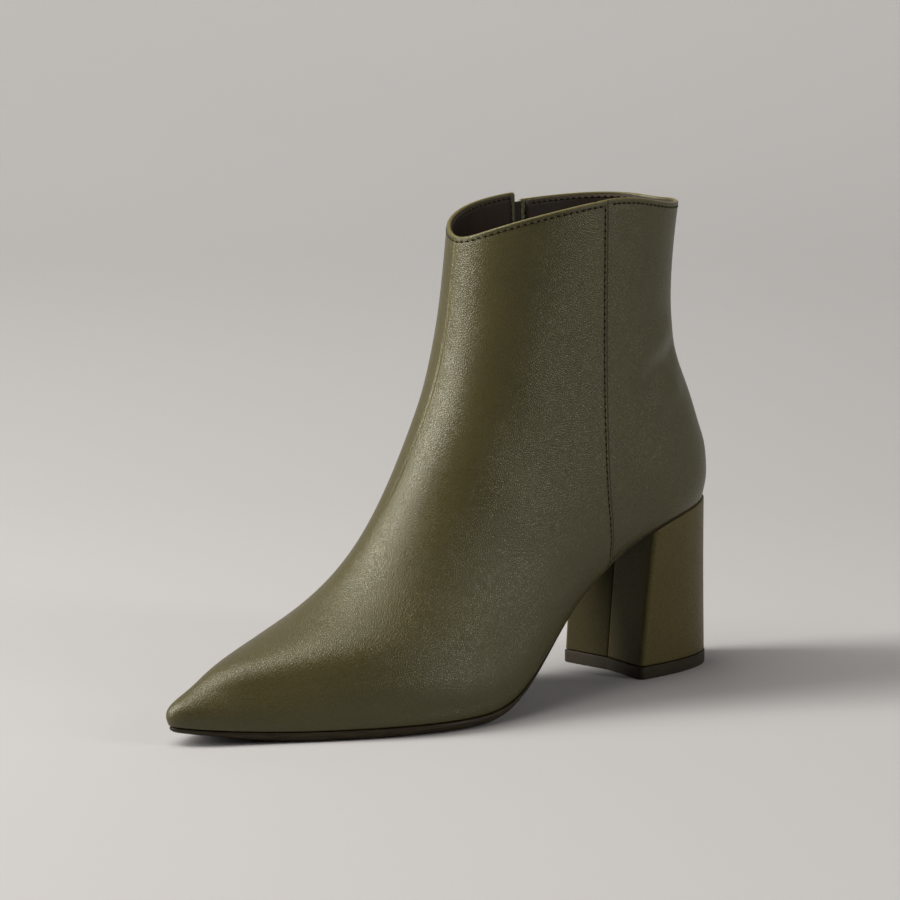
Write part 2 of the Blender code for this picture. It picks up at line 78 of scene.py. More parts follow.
# Columns: share of the length, shift to the outer side
SWING = (
    (-2.0, 0.0), (20.0, 0.0), (31.5, 1.9), (43.0, 4.5), (50.5, 5.1),
    (60.5, 3.1), (69.5, 0.0), (80.0, -3.8), (89.5, -6.9), (102.0, -9.0),
)
RING_COLUMNS = ("back_x", "back_rise", "front_x", "front_rise", "crown", "follow", "seam_x",
                "w1", "w2", "w3", "w4", "w5", "w6", "w7")
RINGS = (
    (0.2, 0.0, 99.6, 0.0, 0.0, 100.0, 26.3, 25.6, 34.4, 32.7, 47.4, 49.1, 28.6, 11.4),
    (-0.1, 3.2, 100.0, 2.4, 0.0, 100.0, 26.4, 26.3, 36.5, 35.9, 48.7, 49.6, 28.8, 11.6),
    (-0.4, 6.8, 98.8, 5.1, 0.0, 95.0, 26.7, 26.3, 37.8, 37.8, 48.9, 49.0, 28.6, 11.6),
    (-0.3, 11.4, 95.3, 8.7, 0.0, 90.0, 27.1, 26.0, 38.5, 39.5, 47.4, 47.4, 29.2, 12.6),
    (0.3, 17.9, 89.6, 14.0, 0.0, 80.0, 27.7, 25.6, 38.5, 40.8, 44.8, 45.2, 31.0, 14.6),
    (1.9, 26.3, 78.5, 20.9, 0.0, 65.0, 28.3, 24.7, 37.6, 41.3, 42.6, 41.6, 31.4, 15.6),
    (4.0, 38.5, 67.2, 33.4, 0.0, 45.0, 28.7, 22.4, 35.0, 40.6, 41.7, 39.0, 30.2, 15.6),
    (6.6, 53.0, 58.1, 52.1, 9.5, 25.0, 28.8, 19.9, 32.7, 39.4, 40.8, 37.6, 28.9, 15.4),
    (7.6, 69.5, 51.3, 72.1, 29.8, 10.0, 28.8, 18.3, 31.4, 38.6, 40.4, 37.7, 29.0, 15.6),
    (7.2, 86.1, 48.6, 88.7, 65.5, 0.0, 28.9, 17.8, 31.2, 38.7, 41.0, 38.4, 29.0, 15.3),
    (6.2, 100.0, 47.6, 100.0, 100.0, 0.0, 29.0, 17.9, 31.4, 39.1, 41.6, 38.8, 29.2, 15.2),
)
COLLAR_LEVEL = len(RINGS) - 1
# Sine waves through the seven half widths of a ring
WIDTH_STATIONS = np.arange(1, 8)
SINE_FIT = np.sin(np.outer(WIDTH_STATIONS, WIDTH_STATIONS) * pi / 8) / 4

top_piece_low, top_piece_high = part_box("heel_top_piece")
BOOT_START = np.array([
    top_piece_low.x + HEEL_OVERHANG,
    (top_piece_low.y + top_piece_high.y) / 2,
    0.0,
])


def spline(knots, rows, at):
    """Natural cubic curve through rows, one row for each knot."""
    step = np.diff(knots)
    system = np.eye(len(knots))
    bend = np.zeros(rows.shape)
    for i in range(1, len(knots) - 1):
        system[i, i - 1:i + 2] = step[i - 1], 2 * (step[i - 1] + step[i]), step[i]
        bend[i] = 6 * ((rows[i + 1] - rows[i]) / step[i] - (rows[i] - rows[i - 1]) / step[i - 1])
    bend = np.linalg.solve(system, bend)
    i = np.clip(np.searchsorted(knots, at, side="right") - 1, 0, len(step) - 1)
    shape = at.shape + (1,) * (rows.ndim - 1)
    width = step[i].reshape(shape)
    after = ((at - knots[i]) / step[i]).reshape(shape)
    before = 1 - after
    curve = (before**3 - before) * bend[i] + (after**3 - after) * bend[i + 1]
    return before * rows[i] + after * rows[i + 1] + curve * width**2 / 6


def soft_step(start, end, x):
    """Step from 0 at start to 1 at end with eased ends."""
    s = np.clip((x - start) / (end - start), 0, 1)
    return s * s * (3 - 2 * s)


def table_curve(table, x):
    """Value of a two column table at a length along the boot, as a fraction."""
    knots, values = np.array(table).T
    share = np.clip(100 * np.asarray(x, float) / LENGTH, knots[0], knots[-1])
    return spline(knots, values, share) / 100


def sole_line(x):
    """Height of the feather line at a length from the heel's back."""
    arch = np.maximum(table_curve(ARCH, x), 0)
    spring = np.maximum(0, (100 * x / LENGTH - SPRING_START) / (100 - SPRING_START)) ** 2
    return FEATHER + (HEEL_HEIGHT - FEATHER) * arch + TOE_SPRING * spring


def ring_at(t):
    """Columns of the ring table at level t, 0 at the feather line."""
    rows = spline(np.arange(len(RINGS), dtype=float), np.array(RINGS) / 100, np.asarray(t, float))
    return dict(zip(RING_COLUMNS, np.moveaxis(rows, -1, 0)))


def turn_at(x, ring):
    """Angle from the heel's back at which a ring reaches length x."""
    back = LENGTH * ring["back_x"]
    return np.arccos(1 - 2 * (x - back) / (LENGTH * ring["front_x"] - back))


def slit_x(ring):
    """Length at which a ring meets the middle of the zip's slit."""
    return LENGTH * ring["seam_x"] - SLIT_SETBACK


def skin(angle, t):
    """Outside of the upper. Angle 0 is the heel's back, pi the front, negative the inner side."""
    angle, t = np.broadcast_arrays(np.asarray(angle, float), np.asarray(t, float))
    ring = ring_at(t)
    turn = np.abs(angle)
    u = (1 - np.cos(turn)) / 2
    back = LENGTH * ring["back_x"]
    front = LENGTH * ring["front_x"]
    x = back + (front - back) * u
    widths = np.stack([ring[f"w{k}"] for k in WIDTH_STATIONS], -1)
    waves = np.sin(WIDTH_STATIONS * turn[..., None])
    half = BALL_WIDTH * np.sum(widths @ SINE_FIT * waves, -1)
    y = np.sign(angle) * half + ring["follow"] * BALL_WIDTH * table_curve(SWING, x)
    chord = sole_line(back) * (1 - u) + sole_line(front) * u
    z = ring["follow"] * sole_line(x) + (1 - ring["follow"]) * chord
    z = z + SHAFT_HEIGHT * ring["back_rise"] * (1 - u) + FRONT_HEIGHT * ring["front_rise"] * u
    crown = np.where(angle < 0, *COLLAR_CROWN) * ring["crown"]
    z = z + crown * (np.hypot(np.sin(turn), COLLAR_EASE) - COLLAR_EASE)
    to_slit = turn / turn_at(slit_x(ring) - (SLIT_WIDTH - GAP) / 2, ring)
    to_seam = turn / turn_at(LENGTH * ring["seam_x"], ring)
    step = np.where((angle < 0) & (to_slit < 1), COLLAR_STEP * np.sin(to_slit * pi / 2) ** 2, 0)
    dip = np.where((angle > 0) & (to_seam < 1), COLLAR_DIP * np.sin(to_seam * pi) ** 2, 0)
    lift = COLLAR_BACK * np.maximum(np.cos(turn), 0) ** COLLAR_BACK_FADE
    z = z + ring["crown"] * (lift - step - dip)
    return np.stack([x, y, z], -1) + BOOT_START


def rise(angle, t):
    """How the outside moves from level to level, as a vector for each unit of t."""
    return (skin(angle, np.add(t, NUDGE)) - skin(angle, np.subtract(t, NUDGE))) / (2 * NUDGE)


def outward(angle, t):
    """Unit normal of the upper's outside."""
    along = skin(np.add(angle, NUDGE), t) - skin(np.subtract(angle, NUDGE), t)
    normal = np.cross(rise(angle, t), along)
    return normal / np.linalg.norm(normal, axis=-1, keepdims=True)


# Front panel of the upper. One piece of smooth olive calf leather, lasted over toe and instep, from the
# zip's slit on the inner side to the outer side seam, where it laps over the rear quarter. Its top edge
# and slit edge are folded and stitched, and a short closed seam runs down the front of the shaft.
WALL = 0.0018
FOLD_RADIUS = 0.00085
SEAM_RADIUS = 0.00035
LAP = 0.0009
LAP_FADE = 0.030
LAP_RADIUS = 0.0003
LAP_CLEARANCE = 0.00005
LAP_SKIVE = (0.0045, 0.0070)
SLIT_END = 4.30
SLIT_END_EASE = 0.35
SEAM_GAP = 0.00006
FRONT_CORNER = 0.0011
COLLAR_GIRTH = 0.066
TOP_STITCH = 0.0021
SIDE_STITCH = 0.0017
SLIT_STITCH = 0.0020
STITCH_GROOVE = 0.00016
STITCH_GROOVE_WIDTH = 0.00045
FRONT_SEAM_DEPTH = 0.00026
FRONT_SEAM_WIDTH = 0.00030
FRONT_SEAM_RIDGE = 0.00010
FRONT_SEAM_RIDGE_AT = 0.0011
FRONT_SEAM_FADE = (6.9, 8.3)
FRONT_SEAM_TURN = 0.06
# Width of the painted highlight along folded edges
FOLD_HIGHLIGHT_REACH = 0.0006
# Span over which the painted shade along the lap's edge fades out
LAP_EDGE_SHADE = (0.0007, 0.0011)
ROUNDED_SHARE = 0.47
EDGE_FINE = 0.000012
EDGE_COARSE = 0.0011
EDGE_STEPS = 17
EDGE_STATIONS = np.concatenate([[0], np.cumsum(np.geomspace(EDGE_FINE, EDGE_COARSE, EDGE_STEPS))])
MIDDLE_LEVELS = 110
BOTTOM_STEPS = 7
FAR = 1.0

# Soft creases and swells. Columns: side, then along the boot and height of both ends, width, relief
CREASES = (
    (1, 0.032, 0.130, 0.048, 0.123, 0.0050, -0.0011),
    (1, 0.034, 0.140, 0.052, 0.132, 0.0065, 0.0008),
    (1, 0.031, 0.117, 0.042, 0.112, 0.0060, 0.0007),
    (1, 0.066, 0.083, 0.050, 0.099, 0.0022, -0.00017),
    (1, 0.061, 0.080, 0.045, 0.097, 0.0022, -0.00017),
    (1, 0.055, 0.079, 0.042, 0.092, 0.0022, -0.00015),
    (1, 0.062, 0.094, 0.049, 0.108, 0.0022, -0.00015),
    (1, 0.124, 0.120, 0.106, 0.088, 0.0110, -0.0006),
    (1, 0.142, 0.084, 0.124, 0.062, 0.0120, -0.0005),
    (-1, 0.032, 0.130, 0.046, 0.124, 0.0055, -0.0006),
    (-1, 0.122, 0.116, 0.108, 0.090, 0.0110, -0.0005),
)

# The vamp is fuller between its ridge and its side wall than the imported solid. Spans are levels of the
# rings and lengths in percent; the swell is given for the inner and the outer side
VAMP_SWELL = (0.0018, 0.0038)
VAMP_SWELL_LOW = (1.0, 3.0)
VAMP_SWELL_HIGH = (4.0, 6.6)
VAMP_SWELL_BACK = (46.0, 70.0)
VAMP_SWELL_TOE = (70.0, 97.0)
VAMP_RIDGE = 0.0115
RIDGE_POINTS = 240

# Marks in the leather. Columns: share of the colour that the mark takes, its tone beside the leather's own
# Painted shade in the grain's creases
GRAIN_CREASE_SHADE = (0.45, 0.40)
# Painted highlight along folded edges and the front seam
FOLD_HIGHLIGHT = (0.80, 2.40)
# Painted shade along the lap's edge and on the heel's breast
PAINTED_SHADE = (0.85, 0.25)
# Roughness added where the painted shade is
PAINTED_SHADE_DULLNESS = 0.40
CREASE_DULLNESS = 0.06
CELL_GLOSS = 0.03
CELL_DOME = 0.28
FINE_SHARE = 0.5
OLIVE_DARK = (0.0440, 0.0366, 0.0056)
OLIVE_LIGHT = (0.0530, 0.0441, 0.0070)

# Sockets of a colour mix: share, first and second colour, and the mixed one
MIX_INPUTS = (0, 6, 7)
MIX_RESULT = 2


def running_length(points):
    """Distance along a line of points to each of them."""
    return np.concatenate([[0], np.cumsum(np.linalg.norm(np.diff(points, axis=0), axis=-1))])


def places_across(girth):
    """Places across a panel, from 0 over 1 in its middle to 2, fine at its edges and its middle."""
    edge = EDGE_STATIONS[-1]
    count = round((girth - 2 * edge) / EDGE_COARSE)
    middle = np.linspace(edge, girth - edge, count + 1)[1:-1]
    half = np.concatenate([EDGE_STATIONS, middle, girth - EDGE_STATIONS[::-1]]) / girth
    return np.concatenate([half, 1 + half[1:]])


def slit_opening(t):
    """How far the inner side's seam has opened into the zip's slit, from 0 to 1."""
    return soft_step(SLIT_END, SLIT_END + SLIT_END_EASE, t)


def slit_half(t):
    """Half the distance between front panel and rear quarter on the inner side: the zip's slit, or a seam."""
    return SEAM_GAP + (SLIT_WIDTH / 2 - SEAM_GAP) * slit_opening(t)


def front_angle(t, across):
    """Angle on the front panel, across from 0 at the slit over 1 at the front seam to 2 at the side seam."""
    ring = ring_at(t)
    slit = turn_at(slit_x(ring) + slit_half(t), ring)
    seam = turn_at(LENGTH * ring["seam_x"], ring)
    inner = slit + (pi - FRONT_SEAM_TURN - slit) * across
    outer = pi + FRONT_SEAM_TURN - (pi + FRONT_SEAM_TURN - seam) * (across - 1)
    return np.where(across < 1, -inner, outer)


def climb(angle_of, t, across):
    """Length on the outside for each unit of t, at a level."""
    return np.linalg.norm(rise(angle_of(t, across), t), axis=-1)


def panel_levels(angle_of, across, drop):
    """Levels of a panel's rows and their distances from the feather edge and the collar."""
    near_bottom = EDGE_STATIONS[:BOTTOM_STEPS, None]
    near_top = EDGE_STATIONS[::-1, None]
    bottom = near_bottom / climb(angle_of, 0, across)
    top = COLLAR_LEVEL - (near_top + drop) / climb(angle_of, COLLAR_LEVEL, across)
    middle = np.linspace(bottom[-1], top[0], MIDDLE_LEVELS)[1:-1]
    levels = np.concatenate([bottom, middle, top])
    from_bottom = np.full(levels.shape, FAR)
    from_bottom[:len(near_bottom)] = near_bottom
    from_top = np.full(levels.shape, FAR)
    from_top[-len(near_top):] = near_top
    return levels, from_bottom, from_top


def rounding(distance, radius):
    """Depth that a rounded edge takes off a face at a distance from the edge."""
    inside = np.clip(radius - distance, 0, radius)
    return radius - np.sqrt(np.maximum(radius**2 - inside**2, 0))


def corner_drop(angle_of, across, edge, radius):
    """How far a rounded corner lowers the collar near the slit's edge."""
    along = running_length(skin(angle_of(COLLAR_LEVEL, across), COLLAR_LEVEL))
    return rounding(np.abs(along - along[edge]), radius)


def trough(distance, width):
    """Soft line of depth 1."""
    return np.exp(-(distance / width) ** 2)


def creases(points, angle):
    """Relief of the listed creases at points of the outside."""
    relief = np.zeros(points.shape[:-1])
    for side, x1, z1, x2, z2, width, height in CREASES:
        start = np.array([x1, z1])
        run = np.array([x2, z2]) - start
        place = (points - BOOT_START)[..., ::2] - start
        share = np.clip(place @ run / (run @ run), 0, 1)
        away = np.linalg.norm(place - share[..., None] * run, axis=-1)
        relief += height * trough(away, width) * (np.sign(angle) == side)
    return relief


def vamp_swell(points, angle, t):
    """How far the vamp bulges between its ridge and the side wall over the toes."""
    ridge_t = np.linspace(0, COLLAR_LEVEL, RIDGE_POINTS)
    ridge = skin(np.full(RIDGE_POINTS, pi), ridge_t)
    away = np.min([np.linalg.norm(points - place, axis=-1) for place in ridge], axis=0)
    share = 100 * (points[..., 0] - BOOT_START[0]) / LENGTH
    levels = soft_step(*VAMP_SWELL_LOW, t) * (1 - soft_step(*VAMP_SWELL_HIGH, t))
    length = soft_step(*VAMP_SWELL_BACK, share) * (1 - soft_step(*VAMP_SWELL_TOE, share))
    inner, outer = VAMP_SWELL
    swell = np.where((angle > 0) & (angle < pi), outer, inner)
    return swell * levels * length * (1 - trough(away, VAMP_RIDGE))


def sheet(name, outer, inner, marks):
    """Closed sheet between two grids of points, with marks kept as attributes of its vertices."""
    rows, columns = outer.shape[:2]
    form = bmesh.new()
    layers = {mark: form.verts.layers.float.new(mark) for mark in marks}
    bmesh.ops.create_grid(form, x_segments=columns - 1, y_segments=rows - 1, size=0.5)
    side = 2 * max(vert.co.x for vert in form.verts)
    grown = bmesh.ops.extrude_face_region(form, geom=form.faces[:])["geom"]
    inside = {part for part in grown if isinstance(part, bmesh.types.BMVert)}
    for vert in form.verts:
        column = round((vert.co.x / side + 0.5) * (columns - 1))
        row = round((vert.co.y / side + 0.5) * (rows - 1))
        vert.co = (inner if vert in inside else outer)[row, column]
        for mark, layer in layers.items():
            vert[layer] = marks[mark][row, column]
    return finished(name, form)


def finished(name, form):
    """Piece from a closed bmesh."""
    bmesh.ops.recalc_face_normals(form, faces=form.faces)
    mesh = bpy.data.meshes.new(name)
    form.to_mesh(mesh)
    form.free()
    return add_piece(name, mesh)


def add_piece(name, mesh):
    """Object at the origin that shows a mesh, shaded smooth."""
    mesh.shade_smooth()
    made = bpy.data.objects.new(name, mesh)
    bpy.context.scene.collection.objects.link(made)
    return made


def set_socket(tree, socket, value):
    """Give an input a value, or link it from another socket."""
    if isinstance(value, bpy.types.NodeSocket):
        tree.links.new(value, socket)
    else:
        socket.default_value = value


def add_node(tree, kind, settings=None, **inputs):
    """Shader node with its inputs set to values or linked from sockets."""
    made = tree.nodes.new("ShaderNode" + kind)
    for name, value in (settings or {}).items():
        setattr(made, name, value)
    for name, value in inputs.items():
        set_socket(tree, made.inputs[name.replace("_", " ")], value)
    return made


def mix_colours(tree, share, first, second):
    """Socket of a colour between two, each a colour or a socket."""
    mixed = add_node(tree, "Mix", {"data_type": "RGBA"})
    for index, value in zip(MIX_INPUTS, (share, first, second)):
        set_socket(tree, mixed.inputs[index], (*value, 1) if isinstance(value, tuple) else value)
    return mixed.outputs[MIX_RESULT]


def between(tree, value, low, high, start=0.0, end=1.0):
    """Socket that goes from low to high as the value goes from start to end."""
    ranged = add_node(tree, "MapRange", Value=value, From_Min=start, From_Max=end, To_Min=low, To_Max=high)
    return ranged.outputs["Result"]


def calculate(tree, operation, *values, kind="Math"):
    """Socket of a sum, product or the like of values, or of vectors where the kind is VectorMath."""
    node = add_node(tree, kind, {"operation": operation})
    for socket, value in zip(node.inputs, values):
        set_socket(tree, socket, value)
    return node.outputs[0]


def paint(tree, shader, tone, dark, light):
    """Base colour between two tones."""
    tree.links.new(mix_colours(tree, tone, dark, light), shader.inputs["Base Color"])


def emboss(tree, shader, height, strength, distance):
    """Fine relief that only the shading has."""
    bump = add_node(tree, "Bump", Height=height, Strength=strength, Distance=distance)
    tree.links.new(bump.outputs["Normal"], shader.inputs["Normal"])


def new_material(name, **constants):
    """Material with a Principled shader whose constant sockets are set by name."""
    material = bpy.data.materials.new(name)
    material.use_nodes = True
    shader = material.node_tree.nodes["Principled BSDF"]
    for socket, value in constants.items():
        shader.inputs[socket.replace("_", " ")].default_value = value
    return material, material.node_tree, shader


def new_group(name, inputs, outputs):
    """Shader node group with named value sockets."""
    group = bpy.data.node_groups.new(name, "ShaderNodeTree")
    for socket, value in inputs.items():
        made = group.interface.new_socket(socket, in_out="INPUT", socket_type="NodeSocketFloat")
        made.default_value = value
    for socket in outputs:
        group.interface.new_socket(socket, in_out="OUTPUT", socket_type="NodeSocketFloat")
    return group, group.nodes.new("NodeGroupInput"), group.nodes.new("NodeGroupOutput")


def use_group(tree, group, **values):
    """Node of a shader group with its value sockets set."""
    used = tree.nodes.new("ShaderNodeGroup")
    used.node_tree = group
    for socket, value in values.items():
        used.inputs[socket].default_value = value
    return used


def leather_grain():
    """Grain of finished leather: small rounded cells with fine creases between, and slow mottling."""
    group, given, out = new_group("leather_grain", {"Cells": 1000.0, "Warp": 0.0004}, ("Height", "Mottle"))
    place = add_node(group, "TexCoord").outputs["Object"]
    drift = add_node(group, "TexNoise", Vector=place, Scale=420.0, Detail=2.0).outputs["Color"]
    drift = calculate(group, "SUBTRACT", drift, (0.5, 0.5, 0.5), kind="VectorMath")
    drift = calculate(group, "MULTIPLY", drift, given.outputs["Warp"], kind="VectorMath")
    moved = calculate(group, "ADD", place, drift, kind="VectorMath")
    cells = add_node(group, "TexVoronoi", {"feature": "DISTANCE_TO_EDGE"}, Vector=moved,
                     Scale=given.outputs["Cells"])
    dome = between(group, cells.outputs["Distance"], 0.0, 1.0, end=CELL_DOME)
    fine = add_node(group, "TexNoise", Vector=place, Scale=2600.0, Detail=3.0).outputs["Fac"]
    height = calculate(group, "MULTIPLY_ADD", fine, FINE_SHARE, dome)
    group.links.new(height, out.inputs["Height"])
    slow = add_node(group, "TexNoise", Vector=place, Scale=38.0, Detail=4.0, Roughness=0.6)
    group.links.new(slow.outputs["Fac"], out.inputs["Mottle"])
    return group


GRAIN = leather_grain()


def shade(colour, tone):
    """Colour made darker or lighter."""
    return tuple(tone * value for value in colour)


def leather(name, dark, light, roughness, grain_depth, cells, **constants):
    """Leather of two close tones with grain, duller and darkened by painted shade in the grain's creases,
    with a painted highlight on folds and painted shade where marked.
    """
    material, tree, shader = new_material(name, **constants)
    grain = use_group(tree, GRAIN, Cells=cells)
    height = grain.outputs["Height"]
    tone = between(tree, grain.outputs["Mottle"], 0.0, 1.0, start=0.32, end=0.68)
    colour = mix_colours(tree, tone, dark, light)
    # Painted shade: the colour darkens in the creases between the grain's cells
    grain_crease_shade = between(tree, height, GRAIN_CREASE_SHADE[0], 0.0, start=0.25, end=0.95)
    colour = mix_colours(tree, grain_crease_shade, colour, shade(dark, GRAIN_CREASE_SHADE[1]))
    # Painted highlight: lighter colour along folded edges and the front seam's groove
    fold_highlight = add_node(tree, "Attribute", {"attribute_name": "fold_highlight"}).outputs["Fac"]
    colour = mix_colours(tree, between(tree, fold_highlight, 0.0, FOLD_HIGHLIGHT[0]), colour, shade(light, FOLD_HIGHLIGHT[1]))
    # Painted shade: the attribute darkens the colour along the lap's edge and on the heel's breast, and dulls
    # it
    painted_shade = add_node(tree, "Attribute", {"attribute_name": "painted_shade"}).outputs["Fac"]
    colour = mix_colours(tree, between(tree, painted_shade, 0.0, PAINTED_SHADE[0]), colour, shade(dark, PAINTED_SHADE[1]))
    tree.links.new(colour, shader.inputs["Base Color"])
    dull = between(tree, height, roughness + CREASE_DULLNESS, roughness - CELL_GLOSS, start=0.2, end=1.2)
    dull = calculate(tree, "ADD", dull, between(tree, painted_shade, 0.0, PAINTED_SHADE_DULLNESS))
    tree.links.new(dull, shader.inputs["Roughness"])
    emboss(tree, shader, height, strength=1.0, distance=grain_depth)
    return material


olive_leather = leather("olive_leather", OLIVE_DARK, OLIVE_LIGHT, roughness=0.35, grain_depth=0.000068,
                        cells=1250.0, Specular_IOR_Level=0.60, Specular_Tint=(0.97, 0.99, 0.84, 1.0))


def panel(name, angle_of, across, drop, lap_end=False, front_seam=None):
    """Leather panel with rounded edges, its end columns the slit's edge and the side seam's."""
    t, from_bottom, from_top = panel_levels(angle_of, across, drop)
    angle = angle_of(t, across)
    base = skin(angle, t)
    normal = outward(angle, t)
    steps = np.linalg.norm(np.diff(base, axis=1), axis=-1)
    along = np.concatenate([np.zeros((len(t), 1)), np.cumsum(steps, axis=1)], axis=1)
    from_ends = along, along[:, -1:] - along
    from_slit, from_seam = from_ends if lap_end else reversed(from_ends)
    lift = np.zeros(t.shape)
    floor = np.full(t.shape, -WALL)
    painted_shade = np.zeros(t.shape)
    if lap_end:
        lift = LAP * (1 - soft_step(0, LAP_FADE, from_seam))
        floor = LAP_CLEARANCE - (LAP_CLEARANCE + WALL) * soft_step(*LAP_SKIVE, from_seam)
        # Painted shade: a dark line along the lap's edge stands in for the shadow there
        painted_shade = 1 - soft_step(*LAP_EDGE_SHADE, from_seam)
    half_sheet = ROUNDED_SHARE * (lift - floor)
    open_slit = slit_opening(t)
    slit_radius = SEAM_RADIUS + (FOLD_RADIUS - SEAM_RADIUS) * open_slit
    cut = np.maximum(rounding(from_top, np.minimum(FOLD_RADIUS, half_sheet)),
                     rounding(from_slit, np.minimum(slit_radius, half_sheet)))
    cut = np.maximum(cut, rounding(from_bottom, SEAM_RADIUS))
    relief = -STITCH_GROOVE * trough(from_top - TOP_STITCH, STITCH_GROOVE_WIDTH)
    relief -= STITCH_GROOVE * open_slit * trough(from_slit - SLIT_STITCH, STITCH_GROOVE_WIDTH)
    if lap_end:
        cut = np.maximum(cut, rounding(from_seam, LAP_RADIUS))
        relief -= STITCH_GROOVE * trough(from_seam - SIDE_STITCH, STITCH_GROOVE_WIDTH)
    # Painted highlight: the colour is lighter along the folded collar and slit edges
    from_fold = np.minimum(from_top, np.where(open_slit > 0.5, from_slit, FAR))
    fold_highlight = 1 - np.minimum(from_fold / FOLD_HIGHLIGHT_REACH, 1)
    if front_seam is not None:
        aside = np.abs(along - along[:, front_seam:front_seam + 1])
        groove = trough(aside, FRONT_SEAM_WIDTH)
        seam = FRONT_SEAM_RIDGE * trough(aside - FRONT_SEAM_RIDGE_AT, FRONT_SEAM_WIDTH)
        seam -= FRONT_SEAM_DEPTH * groove
        relief += seam * soft_step(*FRONT_SEAM_FADE, t)
        # Painted highlight along the front seam's groove as well
        fold_highlight = np.maximum(fold_highlight, groove * soft_step(*FRONT_SEAM_FADE, t))
    relief += creases(base, angle) + vamp_swell(base, angle, t)
    outer = base + normal * (lift - cut + relief)[..., None]
    inner = base + normal * (floor + cut)[..., None]
    made = sheet(name, outer, inner, {"fold_highlight": fold_highlight, "painted_shade": painted_shade})
    made.data.materials.append(olive_leather)
    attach(made, "boot")
    return made


front_across = places_across(COLLAR_GIRTH)
front_panel = panel("front_panel", front_angle, front_across,
                    corner_drop(front_angle, front_across, 0, FRONT_CORNER),
                    lap_end=True, front_seam=len(front_across) // 2)
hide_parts("upper")

# Rear quarter of the upper. The same leather round the heel, from under the front panel's lap on the outer
# side to the zip's slit, over a stiff counter. Its top edge and slit edge are folded and stitched.
REAR_CORNER = 0.0008
REAR_TUCK = 0.0040
REAR_GIRTH = 0.064


def rear_angle(t, across):
    """Angle on the rear quarter, across from 0 under the side seam over 1 at the back to 2 at the slit."""
    ring = ring_at(t)
    seam = turn_at(LENGTH * ring["seam_x"] + REAR_TUCK, ring)
    slit = turn_at(slit_x(ring) - slit_half(t), ring)
    return np.where(across < 1, seam * (1 - across), -slit * (across - 1))


rear_across = places_across(REAR_GIRTH)
panel("rear_quarter", rear_angle, rear_across, corner_drop(rear_angle, rear_across, -1, REAR_CORNER))

# Lining. Thin dark brown leather glued inside the upper. It ends just under the collar's folded rim, and is
# set back from the slit's edges.
LINING_THICK = 0.0004
LINING_SETBACK = 0.0024
LINING_DROP = 0.0010
LINING_FOOT = 0.35
LINING_COLUMNS = 200
LINING_LEVELS = 70
LINING_DARK = (0.0300, 0.0205, 0.0145)
LINING_LIGHT = (0.0420, 0.0290, 0.0210)


def lining_angle(t, share):
    """Angle on the lining, from the slit's front edge round the toe and the heel to its rear edge."""
    ring = ring_at(t)
    half = slit_half(t) + LINING_SETBACK * slit_opening(t)
    start = turn_at(slit_x(ring) + half, ring)
    end = 2 * pi + turn_at(slit_x(ring) - half, ring)
    turned = start + (end - start) * share
    return np.where(turned <= pi, -turned, 2 * pi - turned)


lining_share = np.linspace(0, 1, LINING_COLUMNS)
lining_top = COLLAR_LEVEL - LINING_DROP / climb(lining_angle, COLLAR_LEVEL, lining_share)
lining_t = np.linspace(np.full(LINING_COLUMNS, LINING_FOOT), lining_top, LINING_LEVELS)
lining_angles = lining_angle(lining_t, lining_share)
lining_base = skin(lining_angles, lining_t)
lining_normal = outward(lining_angles, lining_t)
lining_depth = WALL + LAP_CLEARANCE
lining = sheet("lining", lining_base - lining_depth * lining_normal,
               lining_base - (lining_depth + LINING_THICK) * lining_normal, {})
lining_leather = leather("lining_leather", LINING_DARK, LINING_LIGHT, roughness=0.55, grain_depth=0.000015,
                         cells=1500.0, Specular_IOR_Level=0.2)
lining.data.materials.append(lining_leather)
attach(lining, "boot")

# Stitching. Olive polyester thread in a lockstitch, pulled down into needle holes whose shade is painted as
# dark beads, and seen outside and inside: one row under the folded collar, one beside the lapped side seam,
# one along each edge of the slit.
STITCH_PITCH = 0.00265
STITCH_SIZE = (0.00175, 0.00055, 0.00042)
STITCH_SINK = 0.00016
HOLE_SIZE = (0.00150, 0.00082, 0.00036)
THREAD_COLOUR = (0.0300, 0.0245, 0.0075)
THREAD_LIGHT = (0.0900, 0.0770, 0.0300)
# Painted shade in the needle holes, in two tones
HOLE_SHADE_DARK = (0.0030, 0.0024, 0.0012)
HOLE_SHADE_LIGHT = (0.0060, 0.0050, 0.0024)
ROW_POINTS = 400
SLIT_ROW_POINTS = 200

# Where the rows run, as places across a panel and as levels, and where the front row climbs the lap
FRONT_ROW = (0.045, 1.985)
REAR_ROW = (0.080, 1.955)
ONTO_LAP = (1.5, 2.0)
SIDE_ROW = (0.12, COLLAR_LEVEL - 0.05)
SLIT_ROW = (SLIT_END + SLIT_END_EASE, COLLAR_LEVEL - 0.16)

# Share of the pitch at which the first of a row sits
FIRST_STITCH = 0.5
FIRST_HOLE = 0.0


def bead(size, sink):
    """Long bead along +X, its ends dipping into the leather."""
    form = bmesh.new()
    bmesh.ops.create_uvsphere(form, u_segments=8, v_segments=6, radius=0.5)
    bmesh.ops.rotate(form, verts=form.verts, matrix=Matrix.Rotation(pi / 2, 3, "Y"))
    bmesh.ops.scale(form, verts=form.verts, vec=size)
    for vert in form.verts:
        vert.co.z -= sink * (2 * vert.co.x / size[0]) ** 2
    return form


def set_down(name, form, places):
    """Piece of copies of a small form, one at every place, given as a point and three axes."""
    form.verts.index_update()
    shape = np.array([vert.co[:] for vert in form.verts])
    shape_faces = [[vert.index for vert in face.verts] for face in form.faces]
    form.free()
    points = np.concatenate([place + shape @ axes for place, axes in places])
    faces = [[index + k * len(shape) for index in face] for k in range(len(places)) for face in shape_faces]
    mesh = bpy.data.meshes.new(name)
    mesh.from_pydata(points.tolist(), [], faces)
    return add_piece(name, mesh)


